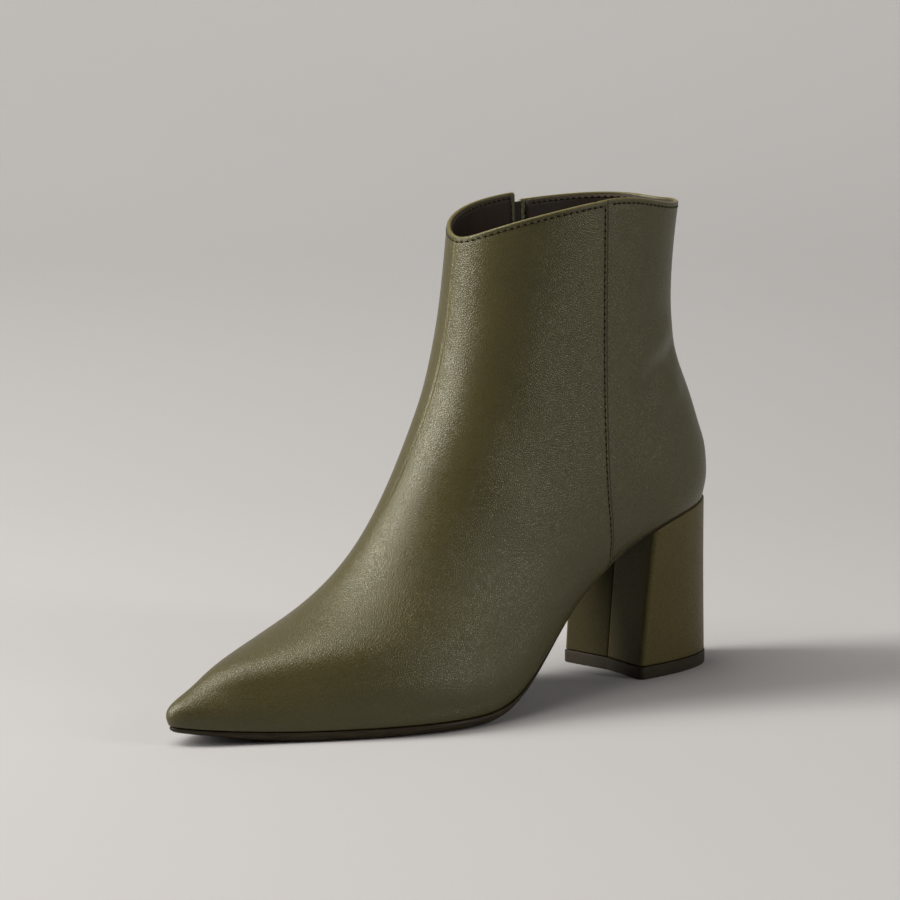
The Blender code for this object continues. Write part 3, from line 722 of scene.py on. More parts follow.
def sew(name, lines, form, start, material):
    """Row of small forms along lines, each an array of points and one of the outward normals there."""
    places = []
    for line, normals in lines:
        run = running_length(line)
        count = int(run[-1] / STITCH_PITCH)
        for middle in (np.arange(count) + start) * run[-1] / count:
            ends = [[np.interp(at, run, line[:, k]) for k in range(3)]
                    for at in (middle - STITCH_PITCH / 4, middle + STITCH_PITCH / 4)]
            along = np.subtract(ends[1], ends[0])
            along /= np.linalg.norm(along)
            up = np.array([np.interp(middle, run, normals[:, k]) for k in range(3)])
            up -= along * (up @ along)
            up /= np.linalg.norm(up)
            places.append((np.mean(ends, axis=0), np.stack([along, np.cross(up, along), up])))
    made = set_down(name, form, places)
    made.data.materials.append(material)
    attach(made, "boot")


def twisted_strands():
    """Strands of a twisted thread, as bands that slant across it."""
    group, given, out = new_group("twisted_strands", {"Strands": 1800.0}, ("Strand",))
    place = add_node(group, "TexCoord").outputs["Object"]
    bands = add_node(group, "TexWave", {"bands_direction": "DIAGONAL"}, Vector=place,
                     Scale=given.outputs["Strands"], Distortion=1.5)
    group.links.new(bands.outputs["Fac"], out.inputs["Strand"])
    return group


STRANDS = twisted_strands()


def thread_material(name, dark, light):
    """Twisted thread in two tones, also for the shade in a needle hole."""
    material, tree, shader = new_material(name, Roughness=0.6, Specular_IOR_Level=0.12)
    strand = use_group(tree, STRANDS).outputs["Strand"]
    paint(tree, shader, strand, dark, light)
    emboss(tree, shader, strand, strength=0.6, distance=0.00005)
    return material


def collar_line(angle_of, across, below, depth):
    """Line along the collar at a distance below it, depth outward of the leather's outside."""
    t = COLLAR_LEVEL - below / climb(angle_of, COLLAR_LEVEL, across)
    return raised_line(angle_of(t, across), t, depth)


def raised_line(angle, t, depth):
    """Points of a line depth outward of the leather's outside, and the normals of the face that it is on."""
    normal = outward(angle, t)
    side = 1 if np.mean(depth) > -WALL / 2 else -1
    return skin(angle, t) + normal * np.reshape(depth, (-1, 1)), side * normal


def slit_line(side, depth):
    """Line beside the slit, side 1 on the front panel and -1 on the rear quarter."""
    t = np.linspace(*SLIT_ROW, SLIT_ROW_POINTS)
    ring = ring_at(t)
    angle = -turn_at(slit_x(ring) + side * (slit_half(t) + SLIT_STITCH), ring)
    return raised_line(angle, t, depth)


SURFACE = STITCH_SIZE[2] / 2 - STITCH_GROOVE - STITCH_SINK / 2
INSIDE = -WALL - STITCH_SINK / 3
LINED = INSIDE - LAP_CLEARANCE - LINING_THICK
front_share = np.linspace(*FRONT_ROW, ROW_POINTS)
rear_share = np.linspace(*REAR_ROW, ROW_POINTS)
front_lift = LAP * soft_step(*ONTO_LAP, front_share)
side_t = np.linspace(*SIDE_ROW, ROW_POINTS)
side_ring = ring_at(side_t)
side_angle = turn_at(LENGTH * side_ring["seam_x"] + SIDE_STITCH, side_ring)
top_rows = [
    collar_line(front_angle, front_share, TOP_STITCH, SURFACE + front_lift),
    collar_line(rear_angle, rear_share, TOP_STITCH, SURFACE),
    collar_line(front_angle, front_share, TOP_STITCH, LINED),
    collar_line(rear_angle, rear_share, TOP_STITCH, LINED),
]
side_rows = [raised_line(side_angle, side_t, SURFACE + LAP)]
slit_rows = [slit_line(side, depth) for side in (1, -1) for depth in (SURFACE, INSIDE)]
thread = thread_material("olive_thread", THREAD_COLOUR, THREAD_LIGHT)
# Painted shade: dark beads at the stitch ends stand in for the shadow in the needle holes
hole_shade = thread_material("hole_shade_paint", HOLE_SHADE_DARK, HOLE_SHADE_LIGHT)
for name, rows in (("top", top_rows), ("side", side_rows), ("slit", slit_rows)):
    sew(f"{name}_stitching", rows, bead(STITCH_SIZE, STITCH_SINK), FIRST_STITCH, thread)
    sew(f"{name}_hole_shade_beads", rows, bead(HOLE_SIZE, 0.0), FIRST_HOLE, hole_shade)

# Outsole. Thin dark brown leather, thickest under the ball and skived to a line at the seat, cemented to
# the lasted upper. Its edge is trimmed, dressed dark and waxed, with a small bevel that catches the light.
SOLE_POINTS = 260
TOE_SOLE = 0.0020
WAIST_SOLE = 0.0020
SEAT_SOLE = 0.0012
SEAT_TO_WAIST = (15.0, 25.0)
WAIST_TO_FORE = (42.0, 56.0)
FORE_TO_TOE = (84.0, 99.0)
FORE_EDGE = 0.0007
TOE_EDGE = -0.0003
SEAT_EDGE = -0.0006
EDGE_TO_FORE = (30.0, 55.0)
EDGE_TO_TOE = (80.0, 99.0)
SPINE_ENDS = (0.40, pi - 0.55)
SAME_PLACE = 1e-6
SOLE_DARK = (0.0175, 0.0132, 0.0068)
SOLE_LIGHT = (0.0410, 0.0310, 0.0165)

# Loops of a flat face, as shares of the way from its edge to its middle line
FILL = (0.03, 0.12, 0.35, 0.65, 1.0)

# Edge from below to above. Columns: inset, share of the thickness
SOLE_PROFILE = (
    (0.0026, 0.0), (0.0017, 0.05), (0.0010, 0.15), (0.0004, 0.32), (0.0, 0.55), (0.0, 0.76),
    (0.00007, 0.87), (0.00022, 0.96), (0.00050, 1.0),
)


def along_span(span, x):
    """Eased step over a span given in percent of the length."""
    return soft_step(*span, 100 * x / LENGTH)


def sole_underside(x):
    """Height of the outsole's underside at a length from the heel's back."""
    thickness = SEAT_SOLE + (WAIST_SOLE - SEAT_SOLE) * along_span(SEAT_TO_WAIST, x)
    thickness = thickness + (FORE_SOLE - WAIST_SOLE) * along_span(WAIST_TO_FORE, x)
    thickness = thickness + (TOE_SOLE - FORE_SOLE) * along_span(FORE_TO_TOE, x)
    return np.maximum(0, sole_line(x) - GAP - thickness)


def sole_edge(x):
    """How far the outsole's edge stands out from the feather line."""
    edge = SEAT_EDGE + (FORE_EDGE - SEAT_EDGE) * along_span(EDGE_TO_FORE, x)
    return edge + (TOE_EDGE - FORE_EDGE) * along_span(EDGE_TO_TOE, x)


def plan_outline(offset):
    """Outline of the feather line moved outwards, its inward normals, and the middle line it closes on."""
    angles = (np.arange(SOLE_POINTS) + 0.5) * 2 * pi / SOLE_POINTS - pi
    line = skin(angles, 0)
    along = skin(angles + NUDGE, 0) - skin(angles - NUDGE, 0)
    inward = np.stack([along[:, 1], -along[:, 0]], -1)
    inward /= np.linalg.norm(inward, axis=-1, keepdims=True)
    outline = line[:, :2] - offset(line[:, 0] - BOOT_START[0])[:, None] * inward
    held = np.clip(np.abs(angles), *SPINE_ENDS)
    middle = (skin(held, 0) + skin(-held, 0))[:, :2] / 2
    return outline, inward, middle


def stacked_loops(plans, middle_of, bottom, top):
    """Loops over plans, each with its share of the height, drawn in to the middle at both ends.

    Bottom and top are heights as functions of the length along the boot.
    """
    (first, low), (last, high) = plans[0], plans[-1]
    closed = [(first + (middle_of(first) - first) * fill, low) for fill in reversed(FILL)]
    closed += plans
    closed += [(last + (middle_of(last) - last) * fill, high) for fill in FILL]
    loops = []
    for plan, share in closed:
        x = plan[:, 0] - BOOT_START[0]
        loops.append(np.column_stack([plan, bottom(x) * (1 - share) + top(x) * share]))
    return loops


def loop_solid(name, loops):
    """Closed solid over loops of points, the first and the last drawn in to a line."""
    form = bmesh.new()
    bmesh.ops.create_circle(form, segments=len(loops[0]), radius=1)
    ring = form.verts[:]
    edges = form.edges[:]
    for loop in loops:
        for vert, place in zip(ring, loop):
            vert.co = place
        if loop is loops[-1]:
            break
        grown = bmesh.ops.extrude_edge_only(form, edges=edges)["geom"]
        new_verts = {part for part in grown if isinstance(part, bmesh.types.BMVert)}
        new_edges = [part for part in grown if isinstance(part, bmesh.types.BMEdge)]
        edges = [edge for edge in new_edges if new_verts >= set(edge.verts)]
        old_verts = set(ring)
        after = {}
        for vert in new_verts:
            neighbours = [edge.other_vert(vert) for edge in vert.link_edges]
            before = next(neighbour for neighbour in neighbours if neighbour in old_verts)
            after[before] = vert
        ring = [after[vert] for vert in ring]
    bmesh.ops.remove_doubles(form, verts=form.verts, dist=SAME_PLACE)
    return finished(name, form)


def slab(name, outline, inward, middle, bottom, top, profile):
    """Slab with a shaped edge between two faces."""
    plans = [(outline + inset * inward, share) for inset, share in profile]
    return loop_solid(name, stacked_loops(plans, lambda plan: middle, bottom, top))


def fine_streaks():
    """Noise drawn out in fine streaks. Level and Upright are how fine it is across and up the boot."""
    group, given, out = new_group("fine_streaks", {"Level": 100.0, "Upright": 2000.0, "Detail": 4.0},
                                  ("Streak",))
    place = add_node(group, "TexCoord").outputs["Object"]
    level = given.outputs["Level"]
    scale = add_node(group, "CombineXYZ", X=level, Y=level, Z=given.outputs["Upright"])
    squeezed = add_node(group, "Mapping", Vector=place, Scale=scale.outputs["Vector"]).outputs["Vector"]
    noise = add_node(group, "TexNoise", Vector=squeezed, Scale=1.0, Detail=given.outputs["Detail"])
    group.links.new(noise.outputs["Fac"], out.inputs["Streak"])
    return group


STREAKS = fine_streaks()


def streaked_material(name, dark, light, streaks, span, dull, depth, **constants):
    """Material with level streaks of two tones, which differ in roughness and stand up a little."""
    material, tree, shader = new_material(name, **constants)
    streak = use_group(tree, STREAKS, **streaks).outputs["Streak"]
    tone = between(tree, streak, 0.0, 1.0, *span)
    paint(tree, shader, tone, dark, light)
    tree.links.new(between(tree, tone, *dull), shader.inputs["Roughness"])
    emboss(tree, shader, streak, strength=0.5, distance=depth)
    return material


def sole_top(x):
    """Height of the outsole's upper face at a length from the heel's back."""
    return sole_line(x) - GAP


outsole = slab("outsole_leather", *plan_outline(sole_edge), sole_underside, sole_top, SOLE_PROFILE)
dark_sole = streaked_material("dark_sole", SOLE_DARK, SOLE_LIGHT, span=(0.35, 0.68), dull=(0.48, 0.36),
                              streaks={"Level": 120.0, "Upright": 2200.0, "Detail": 4.0}, depth=0.00008,
                              Specular_IOR_Level=0.12, Coat_Weight=0.05, Coat_Roughness=0.30)
outsole.data.materials.append(dark_sole)
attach(outsole, "boot")
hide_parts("outsole")

# Insole. A stiff board covered with the lining's leather. It is laid on the outsole inside the upper's wall
# and closes the boot's floor.
INSOLE_INSET = 0.0029
INSOLE_THICK = 0.0020

# Edge from below to above. Columns: inset, share of the thickness
INSOLE_PROFILE = ((0.0, 0.0), (0.0, 0.45), (0.0003, 0.80), (0.0008, 1.0))


def insole_bottom(x):
    """Height of the insole's underside, just clear of the outsole."""
    return sole_line(x) + GAP / 3


def insole_top(x):
    """Height of the face that the foot stands on."""
    return sole_line(x) + INSOLE_THICK


def constant(value):
    """Function of the length along the boot that has one value."""
    return lambda x: np.full(x.shape, value)


insole = slab("insole_cover", *plan_outline(constant(-INSOLE_INSET)), insole_bottom, insole_top,
              INSOLE_PROFILE)
insole.data.materials.append(lining_leather)
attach(insole, "boot")
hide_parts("insole")

# Heel. A block covered with the upper's olive leather, pulled round from the back and closed by a seam down
# the hollow breast, which is darkened by painted shade, as it lies in shade under the arch. The leather is
# turned under at the bottom, and the block is nailed on through the seat.
HEEL_BREAST = (0.0463, 0.0416)
HEEL_BACK = (-0.0035, -0.0003)
HEEL_HALF = (0.0234, 0.0256)
HEEL_SQUARENESS = 2.8
HEEL_ROUNDNESS = 2.3
HEEL_WAIST = 0.0004
HEEL_CORNER = 0.0025
BREAST_DENT = 0.0030
BREAST_SEAM_DEPTH = 0.0004
BREAST_FACE = (-0.0018, -0.0008)
# Painted shade on the breast, on the outer and on the inner half
BREAST_SHADE = (0.52, 1.0)
BREAST_SEAM_WIDTH = 0.00025
BREAST_SEAM_REACH = 0.001
TOP_PIECE = 0.0050
HEEL_LEVELS = 46
HEEL_ROLL = 0.0006
ROLL_STEPS = 6
CORNER_STEPS = 9
SIDE_STEPS = 34
HEEL_DARK = (0.0730, 0.0600, 0.0150)
HEEL_LIGHT = (0.0850, 0.0705, 0.0180)

# Points across half the breast, as distances from its seam at the seat's width
BREAST_STEPS = (0.0, 0.00008, 0.0002, 0.0004, 0.0008, 0.0020, 0.0050, 0.0090, 0.0130, 0.0170, 0.0195)


def graded(ends, share):
    """Value between one at the heel's bottom and one at its seat."""
    return ends[0] + (ends[1] - ends[0]) * share


def heel_outline(v, grow, seam_depth):
    """Outline of the heel in plan at share v of its height, from the breast's seam by the outer side."""
    breast = graded(HEEL_BREAST, v) + grow
    back = graded(HEEL_BACK, v) - grow
    half = graded(HEEL_HALF, v) - HEEL_WAIST * sin(pi * v) + grow
    depth = breast - back
    arc = np.linspace(0, pi / 2, CORNER_STEPS)
    corner = HEEL_CORNER * (1 - np.cos(arc)) / depth
    start = np.arcsin(corner[-1] ** (HEEL_SQUARENESS / 2))
    sweep = np.linspace(start, pi / 2, SIDE_STEPS + 1)[1:]
    share = np.concatenate([corner, np.sin(sweep) ** (2 / HEEL_SQUARENESS)])
    y = half * np.maximum(1 - share**HEEL_SQUARENESS, 0) ** (1 / HEEL_ROUNDNESS)
    y[:CORNER_STEPS] -= HEEL_CORNER * (1 - np.sin(arc))
    flat = np.array(BREAST_STEPS) * (half - HEEL_CORNER) / HEEL_HALF[1]
    x = np.concatenate([np.full(len(flat), breast), breast - depth * share])
    y = np.concatenate([flat, y])
    dent = BREAST_DENT * np.clip(1 - y / half, 0, 1) * soft_step(breast - HEEL_CORNER, breast, x)
    seam = seam_depth * trough(y, BREAST_SEAM_WIDTH) * soft_step(breast - BREAST_SEAM_REACH, breast, x)
    x = x - dent - seam
    outline = np.column_stack([np.concatenate([x, x[-2:0:-1]]), np.concatenate([y, -y[-2:0:-1]])])
    return outline + BOOT_START[:2]


def heel_middle(outline):
    """Line down the middle of the heel on which its flat faces close."""
    low, high = outline.min(0), outline.max(0)
    reach = (high[1] - low[1]) / 3
    return np.column_stack([np.clip(outline[:, 0], low[0] + reach, high[0] - reach),
                            np.full(len(outline), BOOT_START[1])])


def rolled_edge(roll, height):
    """Levels of a rounded edge, as shares of the height and insets."""
    turns = np.linspace(0, pi / 2, ROLL_STEPS)
    return [(roll * (1 - cos(turn)) / height, roll * (1 - sin(turn))) for turn in turns]


def mirrored(levels):
    """Levels of an edge turned round to the other end of the height."""
    return [(1 - share, inset) for share, inset in reversed(levels)]


def heel_seat(x):
    """Height of the heel's seat under the outsole."""
    return sole_underside(x) - GAP


heel_height = HEEL_HEIGHT - TOP_PIECE
heel_edge = rolled_edge(HEEL_ROLL, heel_height)
heel_sides = [(share, 0.0) for share in np.linspace(0, 1, HEEL_LEVELS)[1:-1]]
heel_plans = [(heel_outline(share, -inset, BREAST_SEAM_DEPTH), share)
              for share, inset in [*heel_edge, *heel_sides, *mirrored(heel_edge)]]
heel_foot = constant(TOP_PIECE + GAP)
heel_cover = loop_solid("heel_cover", stacked_loops(heel_plans, heel_middle, heel_foot, heel_seat))
heel_leather = leather("heel_leather", HEEL_DARK, HEEL_LIGHT, roughness=0.43, grain_depth=0.000060,
                       cells=950.0, Specular_IOR_Level=0.28, Specular_Tint=(1.0, 0.96, 0.80, 1.0))
heel_cover.data.materials.append(heel_leather)
heel_points = np.array([vert.co for vert in heel_cover.data.vertices]) - BOOT_START
heel_share = (heel_points[:, 2] - TOP_PIECE) / heel_height
heel_half = graded(HEEL_HALF, heel_share)
heel_aside = np.abs(heel_points[:, 1])
breast_x = graded(HEEL_BREAST, heel_share) - BREAST_DENT * np.clip(1 - heel_aside / heel_half, 0, 1)
on_breast = soft_step(*BREAST_FACE, heel_points[:, 0] - breast_x)
on_breast *= 1 - soft_step(-HEEL_CORNER, -HEEL_CORNER / 3, heel_aside - heel_half)
# Painted shade: the breast's colour is darkened through the leather's painted shade attribute
breast_shade = heel_cover.data.attributes.new("painted_shade", "FLOAT", "POINT")
breast_shade.data.foreach_set("value", on_breast * np.where(heel_points[:, 1] > 0, *BREAST_SHADE))
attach(heel_cover, "boot")
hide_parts("heel_block")

# Top piece. The dark rubber lift under the heel, pinned and cemented to the block. It is cut a hair wider
# than the leather, and its edge is buffed.
TOP_PIECE_EDGE = 0.0003
TOP_PIECE_ROUND = 0.0004
RUBBER_DARK = (0.0215, 0.0172, 0.0105)
RUBBER_LIGHT = (0.0345, 0.0280, 0.0175)

lift_edge = rolled_edge(TOP_PIECE_ROUND, TOP_PIECE)
lift_plans = [(heel_outline(0.0, TOP_PIECE_EDGE - inset, 0.0), share)
              for share, inset in [*lift_edge, (0.5, 0.0), *mirrored(lift_edge)]]
lift_loops = stacked_loops(lift_plans, heel_middle, constant(0.0), constant(TOP_PIECE))
top_piece = loop_solid("top_piece", lift_loops)
rubber = streaked_material("top_piece_rubber", RUBBER_DARK, RUBBER_LIGHT, span=(0.35, 0.70),
                           dull=(0.52, 0.66), streaks={"Level": 260.0, "Upright": 2600.0, "Detail": 5.0},
                           depth=0.00006, Specular_IOR_Level=0.15)
top_piece.data.materials.append(rubber)
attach(top_piece, "boot")
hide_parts("heel_top_piece")

# Zip. Metal teeth crimped on the edges of two woven tapes, which meet behind them and are sewn behind the
# slit's folded edges.
ZIP_START = 4.34
ZIP_TOP = 9.20
TAPE_HALF = 0.0020
TAPE_DEPTH = 0.0011
TAPE_THICK = 0.0005
TAPE_TOP = 9.80
TOOTH_PITCH = 0.00125
TOOTH_WIDTH = 0.0021
TOOTH_LENGTH = 0.00085
TOOTH_DEPTH = 0.0011
TOOTH_OVERLAP = 0.0004
TOOTH_SINK = 0.00005
ZIP_POINTS = 400
TAPE_LEVELS = 160
TAPE_COLUMNS = 13
TAPE_DARK = (0.0110, 0.0095, 0.0050)
TAPE_LIGHT = (0.0220, 0.0190, 0.0105)
METAL_DARK = (0.155, 0.140, 0.118)
METAL_LIGHT = (0.250, 0.232, 0.200)


def slit_angle(t):
    """Angle of the slit's middle line."""
    ring = ring_at(t)
    return -turn_at(slit_x(ring), ring)


def tape_material():
    """Woven polyester tape: fine level ribs of two dark tones."""
    material, tree, shader = new_material("zip_tape", Roughness=0.8)
    place = add_node(tree, "TexCoord").outputs["Object"]
    weave = add_node(tree, "TexWave", {"bands_direction": "Z"}, Vector=place, Scale=420.0, Distortion=3.0,
                     Detail_Scale=900.0)
    paint(tree, shader, weave.outputs["Fac"], TAPE_DARK, TAPE_LIGHT)
    emboss(tree, shader, weave.outputs["Fac"], strength=0.7, distance=0.00008)
    return material


def metal_material():
    """Aged grey metal with fine brushing and darker patches."""
    material, tree, shader = new_material("zip_metal", Metallic=1.0)
    place = add_node(tree, "TexCoord").outputs["Object"]
    brushed = use_group(tree, STREAKS, Level=5000.0, Upright=500.0, Detail=3.0).outputs["Streak"]
    patches = add_node(tree, "TexNoise", Vector=place, Scale=700.0, Detail=2.0).outputs["Fac"]
    tone = between(tree, patches, 0.0, 1.0, start=0.35, end=0.65)
    paint(tree, shader, tone, METAL_DARK, METAL_LIGHT)
    tree.links.new(between(tree, brushed, 0.26, 0.44, start=0.3, end=0.7), shader.inputs["Roughness"])
    emboss(tree, shader, brushed, strength=0.3, distance=0.00003)
    return material


def slit_place(t, aside):
    """Matrix on the slit's middle line: X along the boot, Y into it, Z up the slit."""
    low, here, high = [skin(slit_angle(level), level) for level in (t - NUDGE, t, t + NUDGE)]
    into = -Vector(outward(slit_angle(t), t))
    up = Vector(high - low).normalized()
    axes = Matrix((into.cross(up), into, up)).transposed()
    return Matrix.Translation(here) @ axes.to_4x4() @ Matrix.Translation((aside, 0, 0))


def add_block(form, low, high, radius):
    """Box between two corners with rounded edges."""
    size = [b - a for a, b in zip(low, high)]
    middle = [(a + b) / 2 for a, b in zip(low, high)]
    place = Matrix.Translation(middle) @ Matrix.Diagonal((*size, 1))
    verts = bmesh.ops.create_cube(form, size=1, matrix=place)["verts"]
    edges = list({edge for vert in verts for edge in vert.link_edges})
    bmesh.ops.bevel(form, geom=edges, offset=radius, offset_type="OFFSET", affect="EDGES", segments=2,
                    profile=0.5, material=-1)


zip_metal = metal_material()
zip_levels = np.linspace(ZIP_START, ZIP_TOP, ZIP_POINTS)
zip_line = skin(slit_angle(zip_levels), zip_levels)
zip_run = running_length(zip_line)
tooth_at = np.interp(np.arange(TOOTH_PITCH, zip_run[-1], TOOTH_PITCH), zip_run, zip_levels)
tooth_form = bmesh.new()
add_block(tooth_form, (-TOOTH_WIDTH / 2, TOOTH_SINK, -TOOTH_LENGTH / 2),
          (TOOTH_WIDTH / 2, TOOTH_DEPTH, TOOTH_LENGTH / 2), TOOTH_LENGTH / 4)
tooth_shift = TOOTH_WIDTH / 2 - TOOTH_OVERLAP
tooth_places = []
for k, t in enumerate(tooth_at):
    place = slit_place(t, tooth_shift * (1 if k % 2 else -1))
    tooth_places.append((np.array(place.translation), np.array(place.to_3x3().transposed())))
zip_teeth = set_down("zip_teeth", tooth_form, tooth_places)
zip_teeth.data.materials.append(zip_metal)
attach(zip_teeth, "boot")
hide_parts("zip_chain")

tape_levels = np.linspace(ZIP_START, TAPE_TOP, TAPE_LEVELS)
tape_t = np.broadcast_to(tape_levels[:, None], (TAPE_LEVELS, TAPE_COLUMNS))
tape_aside = np.linspace(-TAPE_HALF, TAPE_HALF, TAPE_COLUMNS)
tape_ring = ring_at(tape_t)
tape_angle = -turn_at(slit_x(tape_ring) + tape_aside, tape_ring)
tape_base = skin(tape_angle, tape_t)
tape_normal = outward(tape_angle, tape_t)
zip_tape = sheet("zip_tape", tape_base - TAPE_DEPTH * tape_normal,
                 tape_base - (TAPE_DEPTH + TAPE_THICK) * tape_normal, {})
zip_tape.data.materials.append(tape_material())
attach(zip_tape, "boot")

# Zip slider. Die cast metal: a front and a back plate on a post, wider at the top where the two rows of
# teeth part, and a bail over the front plate that carries the pull.
SLIDER_CLEAR = 0.0005
SLIDER_PLATE = 0.0014
SLIDER_ROUND = 0.0004
SLIDER_POST = 0.0020
POST_SPAN = (0.0003, 0.0029)
POST_ROUND = 0.0002
BAIL_WIDTH = 0.0016
BAIL_BAR = 0.0009
BAIL_RADIUS = 0.00205
BAIL_STEPS = 14
AXIS_DROP = 0.0014
PULL_BAR = 0.0010
SLIDER_OUTLINE = (
    (0.0016, 0.0032), (0.0027, 0.0028), (0.0032, 0.0018), (0.0032, 0.0002), (0.0028, -0.0018),
    (0.0025, -0.0038), (0.0019, -0.0047), (0.0008, -0.0050),
)


def add_plate(form, outline, near, far):
    """Plate of an outline in X and Z between two depths in Y. Gives the vertices of its two faces."""
    verts = [form.verts.new((x, near, z)) for x, z in outline]
    face = bmesh.ops.contextual_create(form, geom=verts)["faces"]
    grown = bmesh.ops.extrude_face_region(form, geom=face)["geom"]
    moved = [part for part in grown if isinstance(part, bmesh.types.BMVert)]
    bmesh.ops.translate(form, verts=moved, vec=(0, far - near, 0))
    bmesh.ops.recalc_face_normals(form, faces=form.faces)
    return verts, moved


def add_round_plate(form, outline, near, far, radius):
    """Plate whose two faces have rounded edges."""
    faces = [set(verts) for verts in add_plate(form, outline, near, far)]
    rims = [edge for edge in form.edges if any(verts >= set(edge.verts) for verts in faces)]
    bmesh.ops.bevel(form, geom=rims, offset=radius, offset_type="OFFSET", affect="EDGES", segments=3,
                    profile=0.5, material=-1)


def take_in(form, other):
    """Add all of another form to a form."""
    passed = bpy.data.meshes.new("passed")
    other.to_mesh(passed)
    other.free()
    form.from_mesh(passed)
    bpy.data.meshes.remove(passed)


slider_place = slit_place(ZIP_TOP, 0.0)
slider_outer = -SLIDER_CLEAR - SLIDER_PLATE
slider_inner = WALL + SLIDER_CLEAR
slider_outline = [*SLIDER_OUTLINE, *((-x, z) for x, z in reversed(SLIDER_OUTLINE))]
slider_form = bmesh.new()
add_round_plate(slider_form, slider_outline, slider_outer, -SLIDER_CLEAR, SLIDER_ROUND)
add_round_plate(slider_form, slider_outline, slider_inner, slider_inner + SLIDER_PLATE, SLIDER_ROUND)
add_block(slider_form, (-SLIDER_POST / 2, slider_outer / 2, POST_SPAN[0]),
          (SLIDER_POST / 2, slider_inner + SLIDER_PLATE / 2, POST_SPAN[1]), POST_ROUND)
bail_form = bmesh.new()
bmesh.ops.create_grid(bail_form, x_segments=1, y_segments=1, size=0.5)
bmesh.ops.scale(bail_form, verts=bail_form.verts, vec=(BAIL_WIDTH, BAIL_BAR, 1))
bmesh.ops.rotate(bail_form, verts=bail_form.verts, matrix=Matrix.Rotation(pi / 2, 3, "X"))
bmesh.ops.translate(bail_form, verts=bail_form.verts, vec=(0, 0, BAIL_RADIUS))
bmesh.ops.spin(bail_form, geom=[*bail_form.verts, *bail_form.edges, *bail_form.faces], cent=(0, 0, 0),
               axis=(1, 0, 0), angle=pi, steps=BAIL_STEPS, use_merge=False, use_duplicate=False)
bmesh.ops.translate(bail_form, verts=bail_form.verts, vec=(0, slider_outer + SLIDER_ROUND, -AXIS_DROP))
take_in(slider_form, bail_form)
bmesh.ops.transform(slider_form, matrix=slider_place, verts=slider_form.verts)
zip_slider = finished("zip_slider_body", slider_form)
zip_slider.data.materials.append(zip_metal)
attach(zip_slider, "boot")
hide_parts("zip_slider")

# Zip pull. A flat metal tab with a sunk panel on each face and a window at its top. The bar over the window
# turns in the slider's bail.
PULL_WIDTH = 0.0052
PULL_LENGTH = 0.0170
PULL_WINDOW = 0.0043
PULL_THICK = 0.0009
PULL_PANEL_INSET = 0.0009
PULL_PANEL_DEPTH = 0.0002
PULL_LAP = 0.0006
PULL_ARC_POINTS = 17

pull_place = slider_place @ Matrix.Translation((0, slider_outer - GAP - PULL_BAR / 2, -AXIS_DROP))
pull_half = PULL_WIDTH / 2
pull_form = bmesh.new()
add_block(pull_form, (-pull_half, -PULL_BAR / 2, -PULL_BAR / 2), (pull_half, PULL_BAR / 2, PULL_BAR / 2),
          PULL_BAR / 4)
for side in (-1, 1):
    leg = side * (pull_half - PULL_BAR / 2)
    add_block(pull_form, (leg - PULL_BAR / 2, -PULL_BAR / 2, -PULL_WINDOW - PULL_LAP),
              (leg + PULL_BAR / 2, PULL_BAR / 2, PULL_BAR / 2), PULL_BAR / 4)
pull_end = PULL_LENGTH - pull_half
tab_outline = [(pull_half, -PULL_WINDOW), (-pull_half, -PULL_WINDOW)]
tab_turns = np.linspace(pi, 2 * pi, PULL_ARC_POINTS)
tab_outline += [(pull_half * cos(turn), pull_half * sin(turn) - pull_end) for turn in tab_turns]
tab_form = bmesh.new()
add_plate(tab_form, tab_outline, -PULL_THICK / 2, PULL_THICK / 2)
for face in [face for face in tab_form.faces if len(face.verts) == len(tab_outline)]:
    bmesh.ops.inset_region(tab_form, faces=[face], thickness=PULL_PANEL_INSET, depth=0)
    bmesh.ops.inset_region(tab_form, faces=[face], thickness=PULL_PANEL_DEPTH, depth=-PULL_PANEL_DEPTH)
take_in(pull_form, tab_form)
bmesh.ops.transform(pull_form, matrix=pull_place, verts=pull_form.verts)
zip_pull = finished("zip_pull_tab", pull_form)
zip_pull.data.materials.append(zip_metal)
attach(zip_pull, "zip_pull")
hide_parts("zip_pull")

# Studio. A pale seamless paper cove, a tall soft light on the camera's left, weaker ones above and on the
# right, a wide one on the paper behind, and a long lens a little above the boot's middle.
FLOOR_DROP = 0.0001
COVE_FLAT = 1.7
COVE_BEND = 1.9
COVE_TOP = 3.4
COVE_STEPS = 96
COVE_BEND_POINTS = 13
COVE_RINGS = (0.0, 0.5, 1.4)
COVE_SEAM = 1e-5
FLOOR_COLOUR = (0.372, 0.372, 0.372)
FLOOR_LIGHT = (0.392, 0.392, 0.392)
CAMERA_AIM = (0.1265, 0.0, 0.0986)
CAMERA_OFFSET = (0.88880, 1.05930, 0.2190)
CAMERA_LENS = 144.8
SENSOR = 36.0
WORLD_STRENGTH = 0.08
LIGHT_COLOUR = (1.0, 0.952, 0.912)
# Lights. Columns: turn to the left of the camera and height in degrees, distance, width, height, power,
# and how far behind the boot the light is aimed
LIGHTS = (
    (82.0, 34.0, 2.1, 0.62, 2.1, 77.0, 0.0),
    (70.0, 74.0, 2.2, 1.3, 1.3, 30.0, 0.0),
    (-68.0, 22.0, 2.8, 0.6, 1.4, 21.0, 0.0),
    (160.0, 64.0, 2.9, 2.6, 1.2, 84.0, 11.0),
)


def floor_material():
    """Matt pale paper with the faintest clouding."""
    material, tree, shader = new_material("studio_paper", Roughness=0.9, Specular_IOR_Level=0.1)
    place = add_node(tree, "TexCoord").outputs["Object"]
    cloud = add_node(tree, "TexNoise", Vector=place, Scale=1.2, Detail=1.0).outputs["Fac"]
    paint(tree, shader, cloud, FLOOR_COLOUR, FLOOR_LIGHT)
    return material


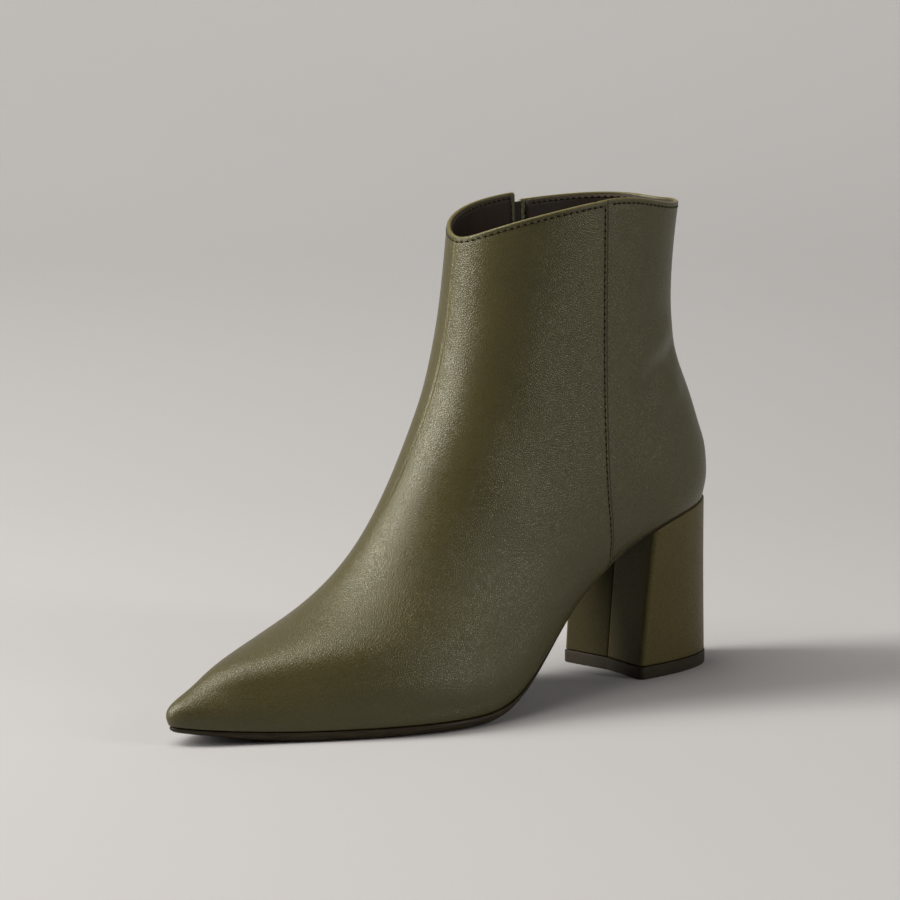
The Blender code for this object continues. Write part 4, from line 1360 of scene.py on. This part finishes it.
scene = bpy.context.scene
cove_form = bmesh.new()
bends = np.linspace(0, pi / 2, COVE_BEND_POINTS)
cove_line = [(radius, 0.0) for radius in COVE_RINGS]
cove_line += [(COVE_FLAT + COVE_BEND * sin(turn), COVE_BEND * (1 - cos(turn))) for turn in bends]
cove_line.append((COVE_FLAT + COVE_BEND, COVE_TOP))
cove_verts = [cove_form.verts.new((radius, 0, height - FLOOR_DROP)) for radius, height in cove_line]
cove_edges = [cove_form.edges.new(pair) for pair in zip(cove_verts, cove_verts[1:])]
bmesh.ops.spin(cove_form, geom=[*cove_verts, *cove_edges], cent=(0, 0, 0), axis=(0, 0, 1), angle=2 * pi,
               steps=COVE_STEPS, use_merge=True, use_duplicate=False)
bmesh.ops.remove_doubles(cove_form, verts=cove_form.verts, dist=COVE_SEAM)
cove = finished("studio_cove", cove_form)
cove.data.materials.append(floor_material())

camera_data = bpy.data.cameras.new("photo_camera")
camera_data.lens = CAMERA_LENS
camera_data.sensor_width = SENSOR
camera = bpy.data.objects.new("photo_camera", camera_data)
camera_target = Vector(BOOT_START) + Vector(CAMERA_AIM)
to_camera = Vector(CAMERA_OFFSET)
camera.location = camera_target + to_camera
camera.rotation_euler = (-to_camera).to_track_quat("-Z", "Y").to_euler()
scene.collection.objects.link(camera)
scene.camera = camera

camera_turn = np.arctan2(to_camera.y, to_camera.x)
for number, (turn, height, distance, width, tall, power, behind) in enumerate(LIGHTS):
    lamp = bpy.data.lights.new(f"soft_light_{number}", "AREA")
    lamp.shape = "RECTANGLE"
    lamp.size = width
    lamp.size_y = tall
    lamp.energy = power
    lamp.color = LIGHT_COLOUR
    heading = camera_turn - radians(turn)
    tilt = radians(height)
    place = Vector((cos(heading) * cos(tilt), sin(heading) * cos(tilt), sin(tilt)))
    stand = bpy.data.objects.new(lamp.name, lamp)
    stand.location = camera_target + place * distance
    aim = camera_target - behind * Vector((cos(camera_turn), sin(camera_turn), 0))
    stand.rotation_euler = (aim - stand.location).to_track_quat("-Z", "Y").to_euler()
    scene.collection.objects.link(stand)

world = bpy.data.worlds.new("studio_air")
world.use_nodes = True
world.node_tree.nodes["Background"].inputs["Color"].default_value = (*LIGHT_COLOUR, 1)
world.node_tree.nodes["Background"].inputs["Strength"].default_value = WORLD_STRENGTH
scene.world = world
scene.view_settings.view_transform = "Standard"
